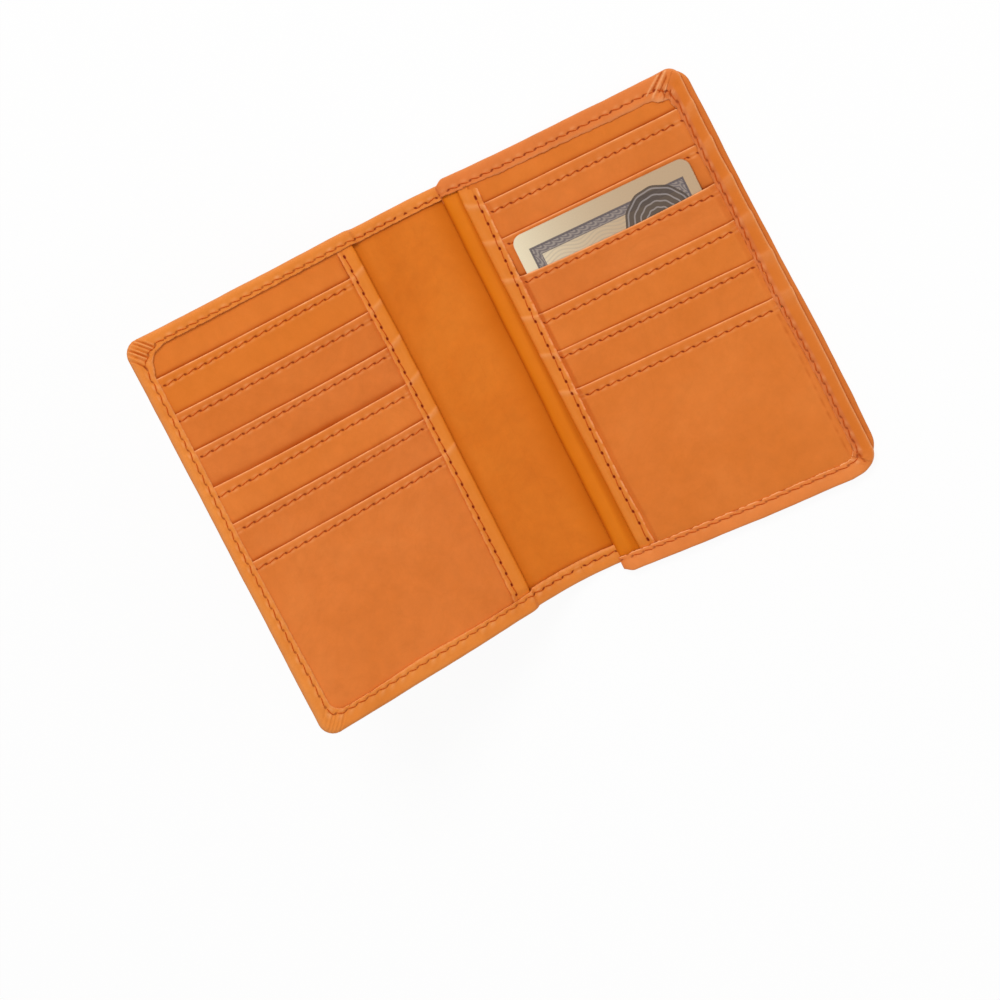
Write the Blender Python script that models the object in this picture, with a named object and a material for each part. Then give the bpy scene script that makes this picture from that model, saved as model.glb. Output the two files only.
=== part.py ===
# Bifold card wallet of tan leather, half open. It lies on the outside of its back half,
# and its front half stands up at -X. X runs across the open wallet from the spine to the
# back half's fore edge, Y up the pockets, and Z out of the back half's inside.
import math

import bmesh
import bpy
from mathutils import Vector

MM = 0.001

# Overall sizes
WALLET_HEIGHT = 118.5 * MM  # top edge to bottom edge of the back leaf
HALF_REACH = 85.1 * MM  # fold axis to fore edge
COVER_SHORT = 0.6 * MM  # the cover stops this far inside the leaf, top and bottom
OPEN_ANGLE = math.radians(21.5)  # turn at each of the two folds, from flat
CLOSING_GAP = 0.6 * MM  # between the two insides when the wallet is shut
COVER_CORNER = 5.0 * MM
LEAF_CORNER = 4.0 * MM

# Plies, from the outside in
PLY_GAP = 0.15 * MM
FOLD_GAP = 0.3 * MM  # between pieces on either side of a fold axis
COVER_PLY = 0.8 * MM
LINING_PLY = 0.4 * MM
LEAF_PLY = 0.5 * MM
BASE_PLY = 0.4 * MM
STRIP_PLY = 0.45 * MM
HEM_PLY = 0.7 * MM
RIM_PLY = 0.7 * MM  # where a ply turns over at an edge

# Turned edges
COVER_ROUND = 0.8 * MM
LEAF_ROUND = 0.5 * MM
BINDING_ROUND = 0.75 * MM
COVER_HEM = 3.8 * MM
BACK_BORDER = 5.0 * MM  # turned edge of the cover behind the leaf
LEAF_HEM = 4.6 * MM
LEAF_SETBACK = 2.0 * MM  # fore edge of the cover to fore edge of the leaf
LEAF_EDGE = 7.2 * MM  # fold axis to the leaf's free edge in the gutter
BINDING_WIDTH = 4.7 * MM
BINDING_BULGE = 0.25 * MM
FRONT_BINDING_RISE = 1.0 * MM
BACK_BINDING_RISE = 2.2 * MM

# Pockets
SLOT_COUNT = 6
FRONT_PANEL_EDGE = 13.7 * MM  # fold axis to the panel's free edge
BACK_PANEL_EDGE = 12.7 * MM
FIRST_SLOT = 10.0 * MM  # top of the wallet to the first pocket's edge
SLOT_PITCH = 11.2 * MM
STRIP_TUCK = 1.8 * MM  # how far a pocket front runs on under the next

# Thread
THREAD_WIDTH = 0.6 * MM
THREAD_LOW = 0.1 * MM  # thickness where it dips to a hole
THREAD_HIGH = 0.22 * MM
THREAD_GAP = 0.05 * MM
SLOT_STITCH = 3.4 * MM
SEAM_STITCH = 3.9 * MM
SLOT_STITCH_INSET = 2.1 * MM
COVER_STITCH_INSET = 2.8 * MM
LEAF_STITCH_INSET = 3.3 * MM
BINDING_STITCH_INSET = 3.2 * MM
ROW_END = 0.5 * MM  # end of a row to the end of what it is sewn through

# The payment-size card in the third pocket of the back half
CARD_SLOT = 3
CARD_WIDTH = 53.98 * MM
CARD_LENGTH = 85.6 * MM
CARD_THICKNESS = 0.76 * MM
CARD_CORNER = 3.18 * MM
CARD_SHOWN = 10.8 * MM  # how far it stands out of its pocket
CARD_SIDE_GAP = 2.76 * MM  # between the binding and the card

OVERRUN = 3.0 * MM  # how far a cutter reaches past what it cuts
CORNER_STEPS = 6
ROUND_STEPS = 3

# Heights above the outside of the cover that both halves share
LINING_LOW = COVER_PLY + PLY_GAP
LINING_TOP = LINING_LOW + LINING_PLY
FOLD_HEIGHT = LINING_LOW - PLY_GAP / 2
GUTTER_HEM_TOP = LINING_TOP + HEM_PLY
HEM_START = GUTTER_HEM_TOP - FOLD_HEIGHT + FOLD_GAP
LINING_START = LINING_TOP - FOLD_HEIGHT + FOLD_GAP

# Heights in the front half
FRONT_BASE_LOW = LINING_TOP + PLY_GAP
FRONT_POCKET_LOW = FRONT_BASE_LOW + BASE_PLY + PLY_GAP
FRONT_HEM_TOP = FRONT_POCKET_LOW + HEM_PLY

# Heights in the back half
LEAF_LOW = LINING_TOP + PLY_GAP
LEAF_FLOOR = LEAF_LOW + LEAF_PLY
BACK_BASE_LOW = LEAF_FLOOR + PLY_GAP
BACK_POCKET_LOW = BACK_BASE_LOW + BASE_PLY + PLY_GAP
LEAF_TOP = BACK_POCKET_LOW + HEM_PLY

# Places along the height and the reach
TOP = WALLET_HEIGHT / 2
COVER_TOP = TOP - COVER_SHORT
STRIP_LENGTH = SLOT_PITCH + STRIP_TUCK
BACK_POCKET_START = BACK_PANEL_EDGE + BINDING_WIDTH + PLY_GAP
LEAF_REACH = HALF_REACH - LEAF_SETBACK


def slot_edge(slot):
    """Height of a pocket's edge up the wallet; the first is nearest the top."""
    return TOP - FIRST_SLOT - (slot - 1) * SLOT_PITCH


# The card leans a little, to pass over the stitched pocket fronts above its own
CARD_FLOOR = -(TOP - LEAF_HEM - PLY_GAP)
FRONT_SLOPE = (STRIP_PLY + PLY_GAP) / SLOT_PITCH
THREAD_RISE = THREAD_GAP + THREAD_HIGH
ROW_RISE = STRIP_PLY + (STRIP_LENGTH - SLOT_STITCH_INSET) * FRONT_SLOPE + THREAD_RISE
CARD_LEAN = (ROW_RISE + PLY_GAP) / (slot_edge(CARD_SLOT - 1) - CARD_FLOOR - STRIP_LENGTH)
BACK_SLOPE = FRONT_SLOPE + CARD_LEAN


def card_under(height):
    """Underside of the card, at a height up the wallet."""
    return BACK_POCKET_LOW + CARD_LEAN * (height - CARD_FLOOR)


def strip_foot(side, slot):
    """Level of a pocket front's lower end: over the card, or on the panel's base."""
    if side < 0:
        return FRONT_POCKET_LOW
    if slot < CARD_SLOT:
        return BACK_POCKET_LOW
    return card_under(slot_edge(slot) - STRIP_LENGTH) + CARD_THICKNESS + PLY_GAP


def strip_slope(side):
    return FRONT_SLOPE if side < 0 else BACK_SLOPE


def strip_top(side, slot, below_edge):
    """Level of a pocket front's outer face, a given way below its edge."""
    rise = strip_slope(side) * (STRIP_LENGTH - below_edge)
    return strip_foot(side, slot) + rise + STRIP_PLY


# The spine is as wide as the two halves need when the wallet is shut
FRONT_BINDING_TOP = FRONT_BASE_LOW + BASE_PLY + FRONT_BINDING_RISE
BACK_BINDING_TOP = BACK_BASE_LOW + BASE_PLY + BACK_BINDING_RISE
FRONT_STACK = max(strip_top(-1, 1, 0), FRONT_BINDING_TOP) + THREAD_RISE
BACK_STACK = max(strip_top(1, CARD_SLOT, 0), BACK_BINDING_TOP) + THREAD_RISE
SPINE_WIDTH = FRONT_STACK + BACK_STACK - 2 * FOLD_HEIGHT + CLOSING_GAP
SPINE_HALF = SPINE_WIDTH / 2


# Where a half's pieces and the spine's lie about the fold that carries them
HALF_PLACE = (0, 0, -FOLD_HEIGHT)
SPINE_PLACE = (-SPINE_HALF, 0, -FOLD_HEIGHT)


def finish(name, colour, roughness):
    material = bpy.data.materials.new(name)
    material.use_nodes = True
    shader = material.node_tree.nodes["Principled BSDF"]
    shader.inputs["Base Color"].default_value = (*colour, 1)
    shader.inputs["Roughness"].default_value = roughness
    shader.inputs["Metallic"].default_value = 0
    material.diffuse_color = (*colour, 1)
    return material


def clear_scene():
    for obj in list(bpy.data.objects):
        bpy.data.objects.remove(obj, do_unlink=True)


def place(name, mesh, parent=None, location=(0, 0, 0), rotation=(0, 0, 0)):
    obj = bpy.data.objects.new(name, mesh)
    bpy.context.scene.collection.objects.link(obj)
    obj.parent = parent
    obj.location = location
    obj.rotation_euler = rotation
    return obj


def add_piece(name, mesh, material, parent=None, location=(0, 0, 0)):
    own = material.copy()
    own.name = name
    mesh.name = name
    mesh.materials.append(own)
    return place(name, mesh, parent, location)


def cut(target, mesh):
    """Takes the mesh's volume out of the target, which shares its parent and place."""
    cutter = place(target.name + "_cutter", mesh, target.parent, target.location)
    cutter.hide_render = True
    cutter.display_type = "WIRE"
    modifier = target.modifiers.new("cut", "BOOLEAN")
    modifier.operation = "DIFFERENCE"
    modifier.solver = "EXACT"
    modifier.object = cutter


def join(target, mesh):
    """Adds the mesh's volume to the target in the same way."""
    added = place(target.name + "_added", mesh, target.parent, target.location)
    added.hide_render = True
    added.display_type = "WIRE"
    modifier = target.modifiers.new("join", "BOOLEAN")
    modifier.operation = "UNION"
    modifier.solver = "EXACT"
    modifier.object = added


def drawn_out(outline, travel):
    """A closed mesh: the outline's face drawn out along travel."""
    work = bmesh.new()
    face = work.faces.new([work.verts.new(point) for point in outline])
    drawn = bmesh.ops.extrude_face_region(work, geom=[face])
    moved = [part for part in drawn["geom"] if isinstance(part, bmesh.types.BMVert)]
    bmesh.ops.translate(work, verts=moved, vec=travel)
    bmesh.ops.recalc_face_normals(work, faces=work.faces)
    mesh = bpy.data.meshes.new("drawn_out")
    work.to_mesh(mesh)
    work.free()
    return mesh


def plate(side, outline, low, high):
    """A flat piece of a half: (reach, height) points between two levels."""
    points = [Vector((side * reach, height, low)) for reach, height in outline]
    return drawn_out(points, Vector((0, 0, high - low)))


def bent_plate(side, profile, start, end):
    """A piece of constant profile: (height, level) points from start to end of reach."""
    points = [Vector((side * start, height, level)) for height, level in profile]
    return drawn_out(points, Vector((side * (end - start), 0, 0)))


def rounded(mesh, radius, is_rim):
    """The mesh with each edge rounded whose two ends is_rim picks."""
    work = bmesh.new()
    work.from_mesh(mesh)
    rim = [edge for edge in work.edges if is_rim(*(vert.co for vert in edge.verts))]
    bmesh.ops.bevel(
        work, geom=rim, offset=radius, segments=ROUND_STEPS, profile=0.5, affect="EDGES"
    )
    work.to_mesh(mesh)
    work.free()
    return mesh


def rounded_plate(side, outline, low, high, radius):
    """A plate that is rounded all round, but for its first side, which runs square."""
    start = outline[0][0]

    def is_rim(one, other):
        flat = math.isclose(one.z, other.z, abs_tol=PLY_GAP)
        at_start = all(math.isclose(end.x, side * start, abs_tol=PLY_GAP) for end in (one, other))
        return flat and not at_start

    return rounded(plate(side, outline, low, high), radius, is_rim)


def quarter(centre, radius, start_angle):
    """Points of a quarter circle, clockwise from the start angle."""
    turns = [start_angle - math.pi / 2 * step / CORNER_STEPS for step in range(CORNER_STEPS + 1)]
    return [
        (centre[0] + radius * math.cos(turn), centre[1] + radius * math.sin(turn))
        for turn in turns
    ]


def fore_end(reach, top, radius):
    """The fore edge of an outline, from its top corner round to its bottom one."""
    inner = reach - radius
    upper = quarter((inner, top - radius), radius, math.pi / 2)
    lower = quarter((inner, radius - top), radius, 0)
    return upper + lower


def leaf_outline(start, reach, top, radius):
    """A half's outline: square at the spine, rounded at the fore edge."""
    return [(start, -top), (start, top)] + fore_end(reach, top, radius)


def window_outline(step, reach, top, radius, wide):
    """Wide from beyond the spine out to the step, then as high as the window."""
    back = -OVERRUN
    near = [(back, -wide), (back, wide), (step, wide), (step, top)]
    return near + fore_end(reach, top, radius) + [(step, -top), (step, -wide)]


def corner_inside(radius, inset):
    """Corner radius of a line that runs inside an outline."""
    return max(radius - inset, THREAD_WIDTH)


def turned_cavity(obj, side, reach, top, radius, edge, hem, levels, step):
    """Hollows a block into a ply, its turned edge and the space that they hold."""
    floor, hem_low, hem_top = levels
    wide = top + OVERRUN
    space = window_outline(step, reach - edge, top - edge, corner_inside(radius, edge), wide)
    window = window_outline(step, reach - hem, top - hem, PLY_GAP, wide)
    cut(obj, plate(side, space, floor, hem_low))
    cut(obj, plate(side, window, (floor + hem_low) / 2, hem_top + OVERRUN))


def make_front_cover(leather, half):
    outline = leaf_outline(FOLD_GAP / 2, HALF_REACH, COVER_TOP, COVER_CORNER)
    block = rounded_plate(-1, outline, 0, FRONT_HEM_TOP, COVER_ROUND)
    cover = add_piece("front_cover", block, leather, half, HALF_PLACE)
    levels = (COVER_PLY, FRONT_POCKET_LOW, FRONT_HEM_TOP)
    turned_cavity(
        cover, -1, HALF_REACH, COVER_TOP, COVER_CORNER, RIM_PLY, COVER_HEM, levels, HEM_START
    )


def make_back_cover(leather, half):
    """The cover behind the leaf: its edge is turned flat, and stands up in the gutter."""
    outline = leaf_outline(FOLD_GAP / 2, HALF_REACH, COVER_TOP, COVER_CORNER)
    block = rounded_plate(1, outline, 0, GUTTER_HEM_TOP, COVER_ROUND)
    cover = add_piece("back_cover", block, leather, half, HALF_PLACE)
    wide = COVER_TOP + OVERRUN
    window = window_outline(
        HEM_START,
        HALF_REACH - BACK_BORDER,
        COVER_TOP - BACK_BORDER,
        corner_inside(COVER_CORNER, BACK_BORDER),
        wide,
    )
    cut(cover, plate(1, window, COVER_PLY, GUTTER_HEM_TOP + OVERRUN))
    start = LEAF_EDGE - FOLD_GAP
    end = HALF_REACH + OVERRUN
    seat = [(start, -wide), (start, wide), (end, wide), (end, -wide)]
    cut(cover, plate(1, seat, LINING_TOP, GUTTER_HEM_TOP + OVERRUN))


def make_spine_cover(leather, spine):
    """The cover between the folds, with its turned edge at top and bottom."""
    reach = SPINE_HALF - FOLD_GAP / 2
    outline = [(-reach, -COVER_TOP), (-reach, COVER_TOP), (reach, COVER_TOP), (reach, -COVER_TOP)]

    def is_rim(one, other):
        return math.isclose(one.z, other.z, abs_tol=PLY_GAP) and one.y * other.y > 0

    block = rounded(plate(1, outline, 0, GUTTER_HEM_TOP), COVER_ROUND, is_rim)
    cover = add_piece("spine_cover", block, leather, spine, SPINE_PLACE)
    hem_reach = SPINE_HALF - HEM_START
    far = SPINE_HALF + OVERRUN
    wide = COVER_TOP + OVERRUN
    window = COVER_TOP - BACK_BORDER
    upper = [(-far, wide), (-hem_reach, wide), (-hem_reach, window)]
    upper += [(hem_reach, window), (hem_reach, wide), (far, wide)]
    lower = [(reach, -height) for reach, height in reversed(upper)]
    cut(cover, plate(1, upper + lower, COVER_PLY, GUTTER_HEM_TOP + OVERRUN))


def make_linings(leather, front_half, spine_body, back_half):
    start = FOLD_GAP / 2
    front_top = COVER_TOP - RIM_PLY - PLY_GAP
    back_top = COVER_TOP - BACK_BORDER - PLY_GAP
    front = leaf_outline(
        start, HALF_REACH - RIM_PLY - PLY_GAP, front_top, corner_inside(COVER_CORNER, RIM_PLY)
    )
    back = leaf_outline(
        start, HALF_REACH - BACK_BORDER - PLY_GAP, back_top, corner_inside(COVER_CORNER, BACK_BORDER)
    )
    reach = SPINE_HALF - LINING_START
    spine = [(-reach, -back_top), (-reach, back_top), (reach, back_top), (reach, -back_top)]
    for name, side, outline, body, corner in (
        ("front_lining", -1, front, front_half, HALF_PLACE),
        ("spine_lining", 1, spine, spine_body, SPINE_PLACE),
        ("back_lining", 1, back, back_half, HALF_PLACE),
    ):
        add_piece(name, plate(side, outline, LINING_LOW, LINING_TOP), leather, body, corner)


def make_back_leaf(leather, half):
    """The leather leaf on the back half, whose edge is turned over its pocket panel."""
    outline = leaf_outline(LEAF_EDGE, LEAF_REACH, TOP, LEAF_CORNER)
    block = rounded_plate(1, outline, LEAF_LOW, LEAF_TOP, LEAF_ROUND)
    leaf = add_piece("back_leaf", block, leather, half, HALF_PLACE)
    levels = (LEAF_FLOOR, BACK_POCKET_LOW, LEAF_TOP)
    turned_cavity(leaf, 1, LEAF_REACH, TOP, LEAF_CORNER, RIM_PLY, LEAF_HEM, levels, 0)


def panel_places(side):
    """Free edge, fore end, half height, corner and lowest level of a pocket panel's base."""
    if side < 0:
        edge, reach, top = FRONT_PANEL_EDGE, HALF_REACH, COVER_TOP
        radius, hem, low = COVER_CORNER, COVER_HEM, FRONT_BASE_LOW
    else:
        edge, reach, top = BACK_PANEL_EDGE, LEAF_REACH, TOP
        radius, hem, low = LEAF_CORNER, LEAF_HEM, BACK_BASE_LOW
    return edge, reach, top, radius, hem, low


def make_panel_base(name, side, rise, leather, half):
    """The ply that a half's pockets are sewn to, with the binding along its free edge."""
    edge, reach, top, radius, hem, low = panel_places(side)
    inset = RIM_PLY + PLY_GAP
    outline = leaf_outline(edge, reach - inset, top - inset, corner_inside(radius, inset))
    block = plate(side, outline, low, low + BASE_PLY)
    base = add_piece(name, block, leather, half, HALF_PLACE)
    bottom = low + BASE_PLY / 2
    crown = low + BASE_PLY + rise
    end = top - hem - PLY_GAP
    outer = edge - BINDING_BULGE
    inner = edge + BINDING_WIDTH
    bead = [(outer, -end), (outer, end), (inner, end), (inner, -end)]

    def is_rim(one, other):
        return min(one.z, other.z) > bottom + rise / 2 and one.y * other.y < 0

    join(base, rounded(plate(side, bead, bottom, crown), BINDING_ROUND, is_rim))


def strip_span(side):
    """Where the pocket fronts of a half start and end along its reach."""
    edge, reach, _, _, hem, _ = panel_places(side)
    return edge + BINDING_WIDTH + PLY_GAP, reach - hem - PLY_GAP


def strip_profile(side, slot):
    """(height, level) points of a pocket front; the last runs down to the bottom hem."""
    edge = slot_edge(slot)
    foot = edge - STRIP_LENGTH
    foot_level = strip_foot(side, slot)
    under = [(foot, foot_level), (edge, strip_top(side, slot, 0) - STRIP_PLY)]
    if slot == SLOT_COUNT:
        _, _, top, _, hem, _ = panel_places(side)
        end = -(top - hem - PLY_GAP)
        fall = (foot - end) * (0 if side < 0 else CARD_LEAN)
        under.insert(0, (end, foot_level - fall))
    over = [(height, level + STRIP_PLY) for height, level in reversed(under)]
    return under + over


def make_pocket_fronts(name, side, leather, half):
    start, end = strip_span(side)
    for slot in range(1, SLOT_COUNT + 1):
        mesh = bent_plate(side, strip_profile(side, slot), start, end)
        add_piece(f"{name}_pocket_{slot}", mesh, leather, half, HALF_PLACE)


def along(path, distance):
    """Point and direction at a distance along a path of straight pieces."""
    for start, end in zip(path, path[1:]):
        span = (end - start).length
        if distance <= span or end is path[-1]:
            direction = (end - start).normalized()
            return start + direction * min(distance, span), direction
        distance -= span


def thread_row(path, level, stitch):
    """One row of stitches along a path: thick on each stitch and thin at each hole."""
    path = [Vector(point) for point in path]
    length = sum((end - start).length for start, end in zip(path, path[1:]))
    count = max(1, round(length / stitch))
    up = Vector((0, 0, 1))
    work = bmesh.new()
    rings = []
    for step in range(2 * count + 1):
        point, direction = along(path, length * step / (2 * count))
        out = direction.cross(up) * THREAD_WIDTH / 2
        thickness = THREAD_HIGH if step % 2 else THREAD_LOW
        foot = point + up * level
        crown = foot + up * thickness
        corners = (foot - out, foot + out, crown + out, crown - out)
        rings.append([work.verts.new(corner) for corner in corners])
    for first, second in zip(rings, rings[1:]):
        for index in range(len(first)):
            after = (index + 1) % len(first)
            work.faces.new((first[index], first[after], second[after], second[index]))
    work.faces.new(rings[0])
    work.faces.new(rings[-1])
    bmesh.ops.recalc_face_normals(work, faces=work.faces)
    mesh = bpy.data.meshes.new("thread_row")
    work.to_mesh(mesh)
    work.free()
    return mesh


def seam_path(side, start, reach, top, radius, inset):
    """A row inside a turned edge: along the top, down the fore edge and back."""
    ends = fore_end(reach - inset, top - inset, corner_inside(radius, inset))
    points = [(start, top - inset)] + ends + [(start, inset - top)]
    return [(side * along_reach, height, 0) for along_reach, height in points]


def make_slot_threads(name, side, thread, half):
    start, end = strip_span(side)
    for slot in range(1, SLOT_COUNT + 1):
        height = slot_edge(slot) - SLOT_STITCH_INSET
        level = strip_top(side, slot, SLOT_STITCH_INSET) + THREAD_GAP
        path = [(side * (start + ROW_END), height, 0), (side * (end - ROW_END), height, 0)]
        mesh = thread_row(path, level, SLOT_STITCH)
        add_piece(f"{name}_pocket_thread_{slot}", mesh, thread, half, HALF_PLACE)


def make_binding_thread(name, side, binding_top, thread, half):
    edge, _, top, _, hem, _ = panel_places(side)
    reach = side * (edge + BINDING_STITCH_INSET)
    end = top - hem - PLY_GAP - ROW_END
    path = [(reach, end, 0), (reach, -end, 0)]
    mesh = thread_row(path, binding_top + THREAD_GAP, SEAM_STITCH)
    add_piece(name, mesh, thread, half, HALF_PLACE)


def make_seam_threads(thread, front_half, spine, back_half):
    front = seam_path(
        -1, HEM_START + ROW_END, HALF_REACH, COVER_TOP, COVER_CORNER, COVER_STITCH_INSET
    )
    mesh = thread_row(front, FRONT_HEM_TOP + THREAD_GAP, SEAM_STITCH)
    add_piece("front_seam_thread", mesh, thread, front_half, HALF_PLACE)
    back = seam_path(1, LEAF_EDGE + ROW_END, LEAF_REACH, TOP, LEAF_CORNER, LEAF_STITCH_INSET)
    mesh = thread_row(back, LEAF_TOP + THREAD_GAP, SEAM_STITCH)
    add_piece("back_seam_thread", mesh, thread, back_half, HALF_PLACE)
    reach = SPINE_HALF - HEM_START - ROW_END
    height = COVER_TOP - COVER_STITCH_INSET
    for place_name, sign in (("top", 1), ("bottom", -1)):
        path = [(-reach, sign * height, 0), (reach, sign * height, 0)]
        mesh = thread_row(path, GUTTER_HEM_TOP + THREAD_GAP, SEAM_STITCH)
        add_piece(f"spine_thread_{place_name}", mesh, thread, spine, SPINE_PLACE)


def card_outline():
    """The card's outline about the middle of its lower edge."""
    side = CARD_WIDTH / 2
    right = fore_end(side, CARD_LENGTH / 2, CARD_CORNER)
    left = [(-reach, height) for reach, height in reversed(right)]
    return [(reach, height + CARD_LENGTH / 2) for reach, height in right + left]


def make_card(plastic, half):
    """The card, leaning on the pocket fronts above its own."""
    card = add_piece("card", plate(1, card_outline(), 0, CARD_THICKNESS), plastic, half)
    foot = slot_edge(CARD_SLOT) + CARD_SHOWN - CARD_LENGTH
    reach = BACK_POCKET_START + CARD_SIDE_GAP + CARD_WIDTH / 2
    card.location = (reach, foot, card_under(foot) - FOLD_HEIGHT)
    card.rotation_euler = (math.atan(CARD_LEAN), 0, 0)


def make_wallet():
    cover_leather = finish("cover_leather", (0.74, 0.25, 0.04), 0.42)
    pocket_leather = finish("pocket_leather", (0.68, 0.20, 0.04), 0.46)
    lining_leather = finish("lining_leather", (0.64, 0.18, 0.03), 0.5)
    thread = finish("thread", (0.50, 0.14, 0.06), 0.7)
    plastic = finish("card_plastic", (0.75, 0.66, 0.48), 0.35)

    # The back half lies still, the spine turns on it, and the front half on the spine
    back_half = place("back_half", None, None, (-HALF_REACH / 2, 0, FOLD_HEIGHT))
    spine = place("back_fold_axis", None, back_half, (0, 0, 0), (0, OPEN_ANGLE, 0))
    front_half = place("front_fold_axis", None, spine, (-SPINE_WIDTH, 0, 0), (0, OPEN_ANGLE, 0))

    make_spine_cover(cover_leather, spine)
    make_front_cover(cover_leather, front_half)
    make_back_cover(cover_leather, back_half)
    make_linings(lining_leather, front_half, spine, back_half)
    make_back_leaf(cover_leather, back_half)
    make_panel_base("front_panel_base", -1, FRONT_BINDING_RISE, pocket_leather, front_half)
    make_panel_base("back_panel_base", 1, BACK_BINDING_RISE, pocket_leather, back_half)
    make_pocket_fronts("front", -1, pocket_leather, front_half)
    make_pocket_fronts("back", 1, pocket_leather, back_half)
    make_slot_threads("front", -1, thread, front_half)
    make_slot_threads("back", 1, thread, back_half)
    make_binding_thread("front_binding_thread", -1, FRONT_BINDING_TOP, thread, front_half)
    make_binding_thread("back_binding_thread", 1, BACK_BINDING_TOP, thread, back_half)
    make_seam_threads(thread, front_half, spine, back_half)
    make_card(plastic, back_half)


clear_scene()
make_wallet()
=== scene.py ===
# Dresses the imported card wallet: tan leather with turned and stitched edges, and a card.
# Lengths are in millimetres until a mesh is made. A point of a half is given by how far it
# is from the fold (reach), how far up the pockets (height) and how far above the outside
# of the cover (level).
import math

import bmesh
import bpy
import numpy as np
from mathutils import Matrix, Vector


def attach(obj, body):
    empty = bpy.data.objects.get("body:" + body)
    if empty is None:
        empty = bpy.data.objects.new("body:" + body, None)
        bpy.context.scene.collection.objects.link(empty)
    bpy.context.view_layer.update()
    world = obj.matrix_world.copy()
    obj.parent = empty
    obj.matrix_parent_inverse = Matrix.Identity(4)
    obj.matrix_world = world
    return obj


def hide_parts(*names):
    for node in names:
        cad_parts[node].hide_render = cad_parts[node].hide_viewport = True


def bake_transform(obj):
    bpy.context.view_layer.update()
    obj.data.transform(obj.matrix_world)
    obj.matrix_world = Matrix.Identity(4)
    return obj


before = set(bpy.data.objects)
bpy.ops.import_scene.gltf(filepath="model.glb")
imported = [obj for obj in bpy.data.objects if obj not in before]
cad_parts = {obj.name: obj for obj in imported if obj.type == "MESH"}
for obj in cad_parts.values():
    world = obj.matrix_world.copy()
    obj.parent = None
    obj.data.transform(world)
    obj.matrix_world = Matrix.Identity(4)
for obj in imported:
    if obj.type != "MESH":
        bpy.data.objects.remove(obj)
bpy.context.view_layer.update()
print("frame: loaded", len(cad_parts), "nodes")

mm = 0.001

wallet = {
    "top": 59.25,  # half the height, to the leaf's edge
    "coverTop": 58.65,
    "reach": 85.1,
    "leafReach": 83.1,
    "foldAngle": math.radians(21.5),
    "foldLevel": 0.875,
    "spineWidth": 8.8297,
    "backFold": -42.55,
    "slotEnd": 78,  # reach where the pockets' edges run under the turned edges
}

# The pockets' edges and the rows of stitches under them: heights at three places along
# each, and each row's pitch and the place of one of its holes.
slots = {
    "front": {
        "at": (20, 50, 80),
        "edges": (
            (47.5, 47.5, 47.85), (37.1, 36.95, 37.3), (26.1, 25.9, 26.4),
            (14.85, 14.7, 15.45), (3.95, 3.95, 4.4), (-7.2, -7.3, -6.95),
        ),
        "rows": (
            (45.56, 45.56, 45.42), (34.66, 34.8, 35.2), (23.9, 24.2, 24.2),
            (12.0, 12.3, 12.65), (1.75, 1.96, 2.17), (-9.5, -9.5, -9.15),
        ),
        "pitch": (3.2, 3.26, 3.28, 3.32, 3.23, 3.18),
        "first": (22.3, 22.3, 20.9, 21.3, 20.4, 20.6),
        "span": (19.3, 82.0),
        "shade": (1.7, 1.7, 1.7, 3.2, 1.8, 1.7),  # how far up the shade over an edge fades
        "tone": (-0.10, -0.11, -0.09, -0.01, -0.05, -0.04),
        "rich": (0.35, 0.12, 0.0, 0.1, 0.0, 0.0),
    },
    "back": {
        "at": (18, 47, 77.5),
        "edges": (
            (49.36, 49.49, 49.77), (38.43, 38.63, 38.97), (27.15, 26.65, 27.5),
            (15.54, 15.88, 16.5), (4.0, 4.27, 4.68), (-7.41, -7.27, -7.0),
        ),
        "rows": (
            (46.28, 46.28, 46.28), (36.4, 36.6, 36.8), (25.1, 25.2, 24.8),
            (12.8, 13.2, 14.0), (2.1, 2.2, 2.8), (-10.0, -10.07, -10.0),
        ),
        "pitch": (2.96, 3.1, 3.17, 3.2, 3.07, 3.25),
        "first": (18.8, 19.1, 19.1, 18.4, 18.4, 20.5),
        "span": (17.8, 77.4),
        "shade": (1.3, 1.2, 1.2, 1.3, 1.3, 1.2),
        "tone": (-0.03, -0.03, -0.06, -0.03, -0.03, -0.01),
        "rich": (0.0, 0.0, 0.0, 0.12, 0.1, 0.1),
    },
}

# How far the handmade wallet's edges stray, at places along each. "outside" is the cover
# of the back half, and "back" the leaf and what lies on it.
strays = {
    "fade": (49.6, 53.0),  # heights over which the top's and the bottom's strays come in
    "front": {
        "top": ((-5, 12, 14.5, 20, 40, 60, 80), (0.55, 0.55, 0.90, 0.90, 0.81, 0.81, 0.91)),
        "low": ((-5, 12, 12.8, 15, 40, 60, 80), (1.25, 1.25, 0.85, 0.65, 0.15, 0.0, -0.15)),
        "fore": ((-45, -20, 0, 20, 40, 55), (0.56, 0.65, 0.76, 0.79, 0.95, 1.06)),
        "across": (20, 85),  # the fore edge's stray fades in over this
    },
    "back": {
        "top": ((10, 15, 25, 40, 60, 76, 80), (1.15, 0.98, 0.80, 0.90, 1.02, 1.17, 1.30)),
        "low": ((10, 50, 60, 75, 80), (-1.5, -2.2, -2.15, -2.1, -1.4)),
        "fore": (
            (-54, -45, -35, -25, -15, -5, 5, 15, 25, 35, 45, 55),
            (2.2, 2.0, 1.9, 1.8, 1.5, 1.2, 0.8, 0.4, -0.1, -0.6, -0.8, -1.1),
        ),
        "across": (40, 83),
    },
    "outside": {
        "top": ((-5, 7, 15, 80), (0.55, 0.55, 0.75, 1.05)),
        "low": ((-5, 7, 12, 40, 80), (1.25, 1.2, 0.3, -0.6, -1.0)),
        "fore": (
            (-48, -40, -30, -15, -5, 5, 15, 25, 40, 50, 57),
            (1.1, 1.15, 0.95, 0.5, 0.0, -0.42, -0.85, -1.15, -1.4, -1.7, -2.0),
        ),
        "across": (40, 85),
    },
}

# Where things are.

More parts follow.
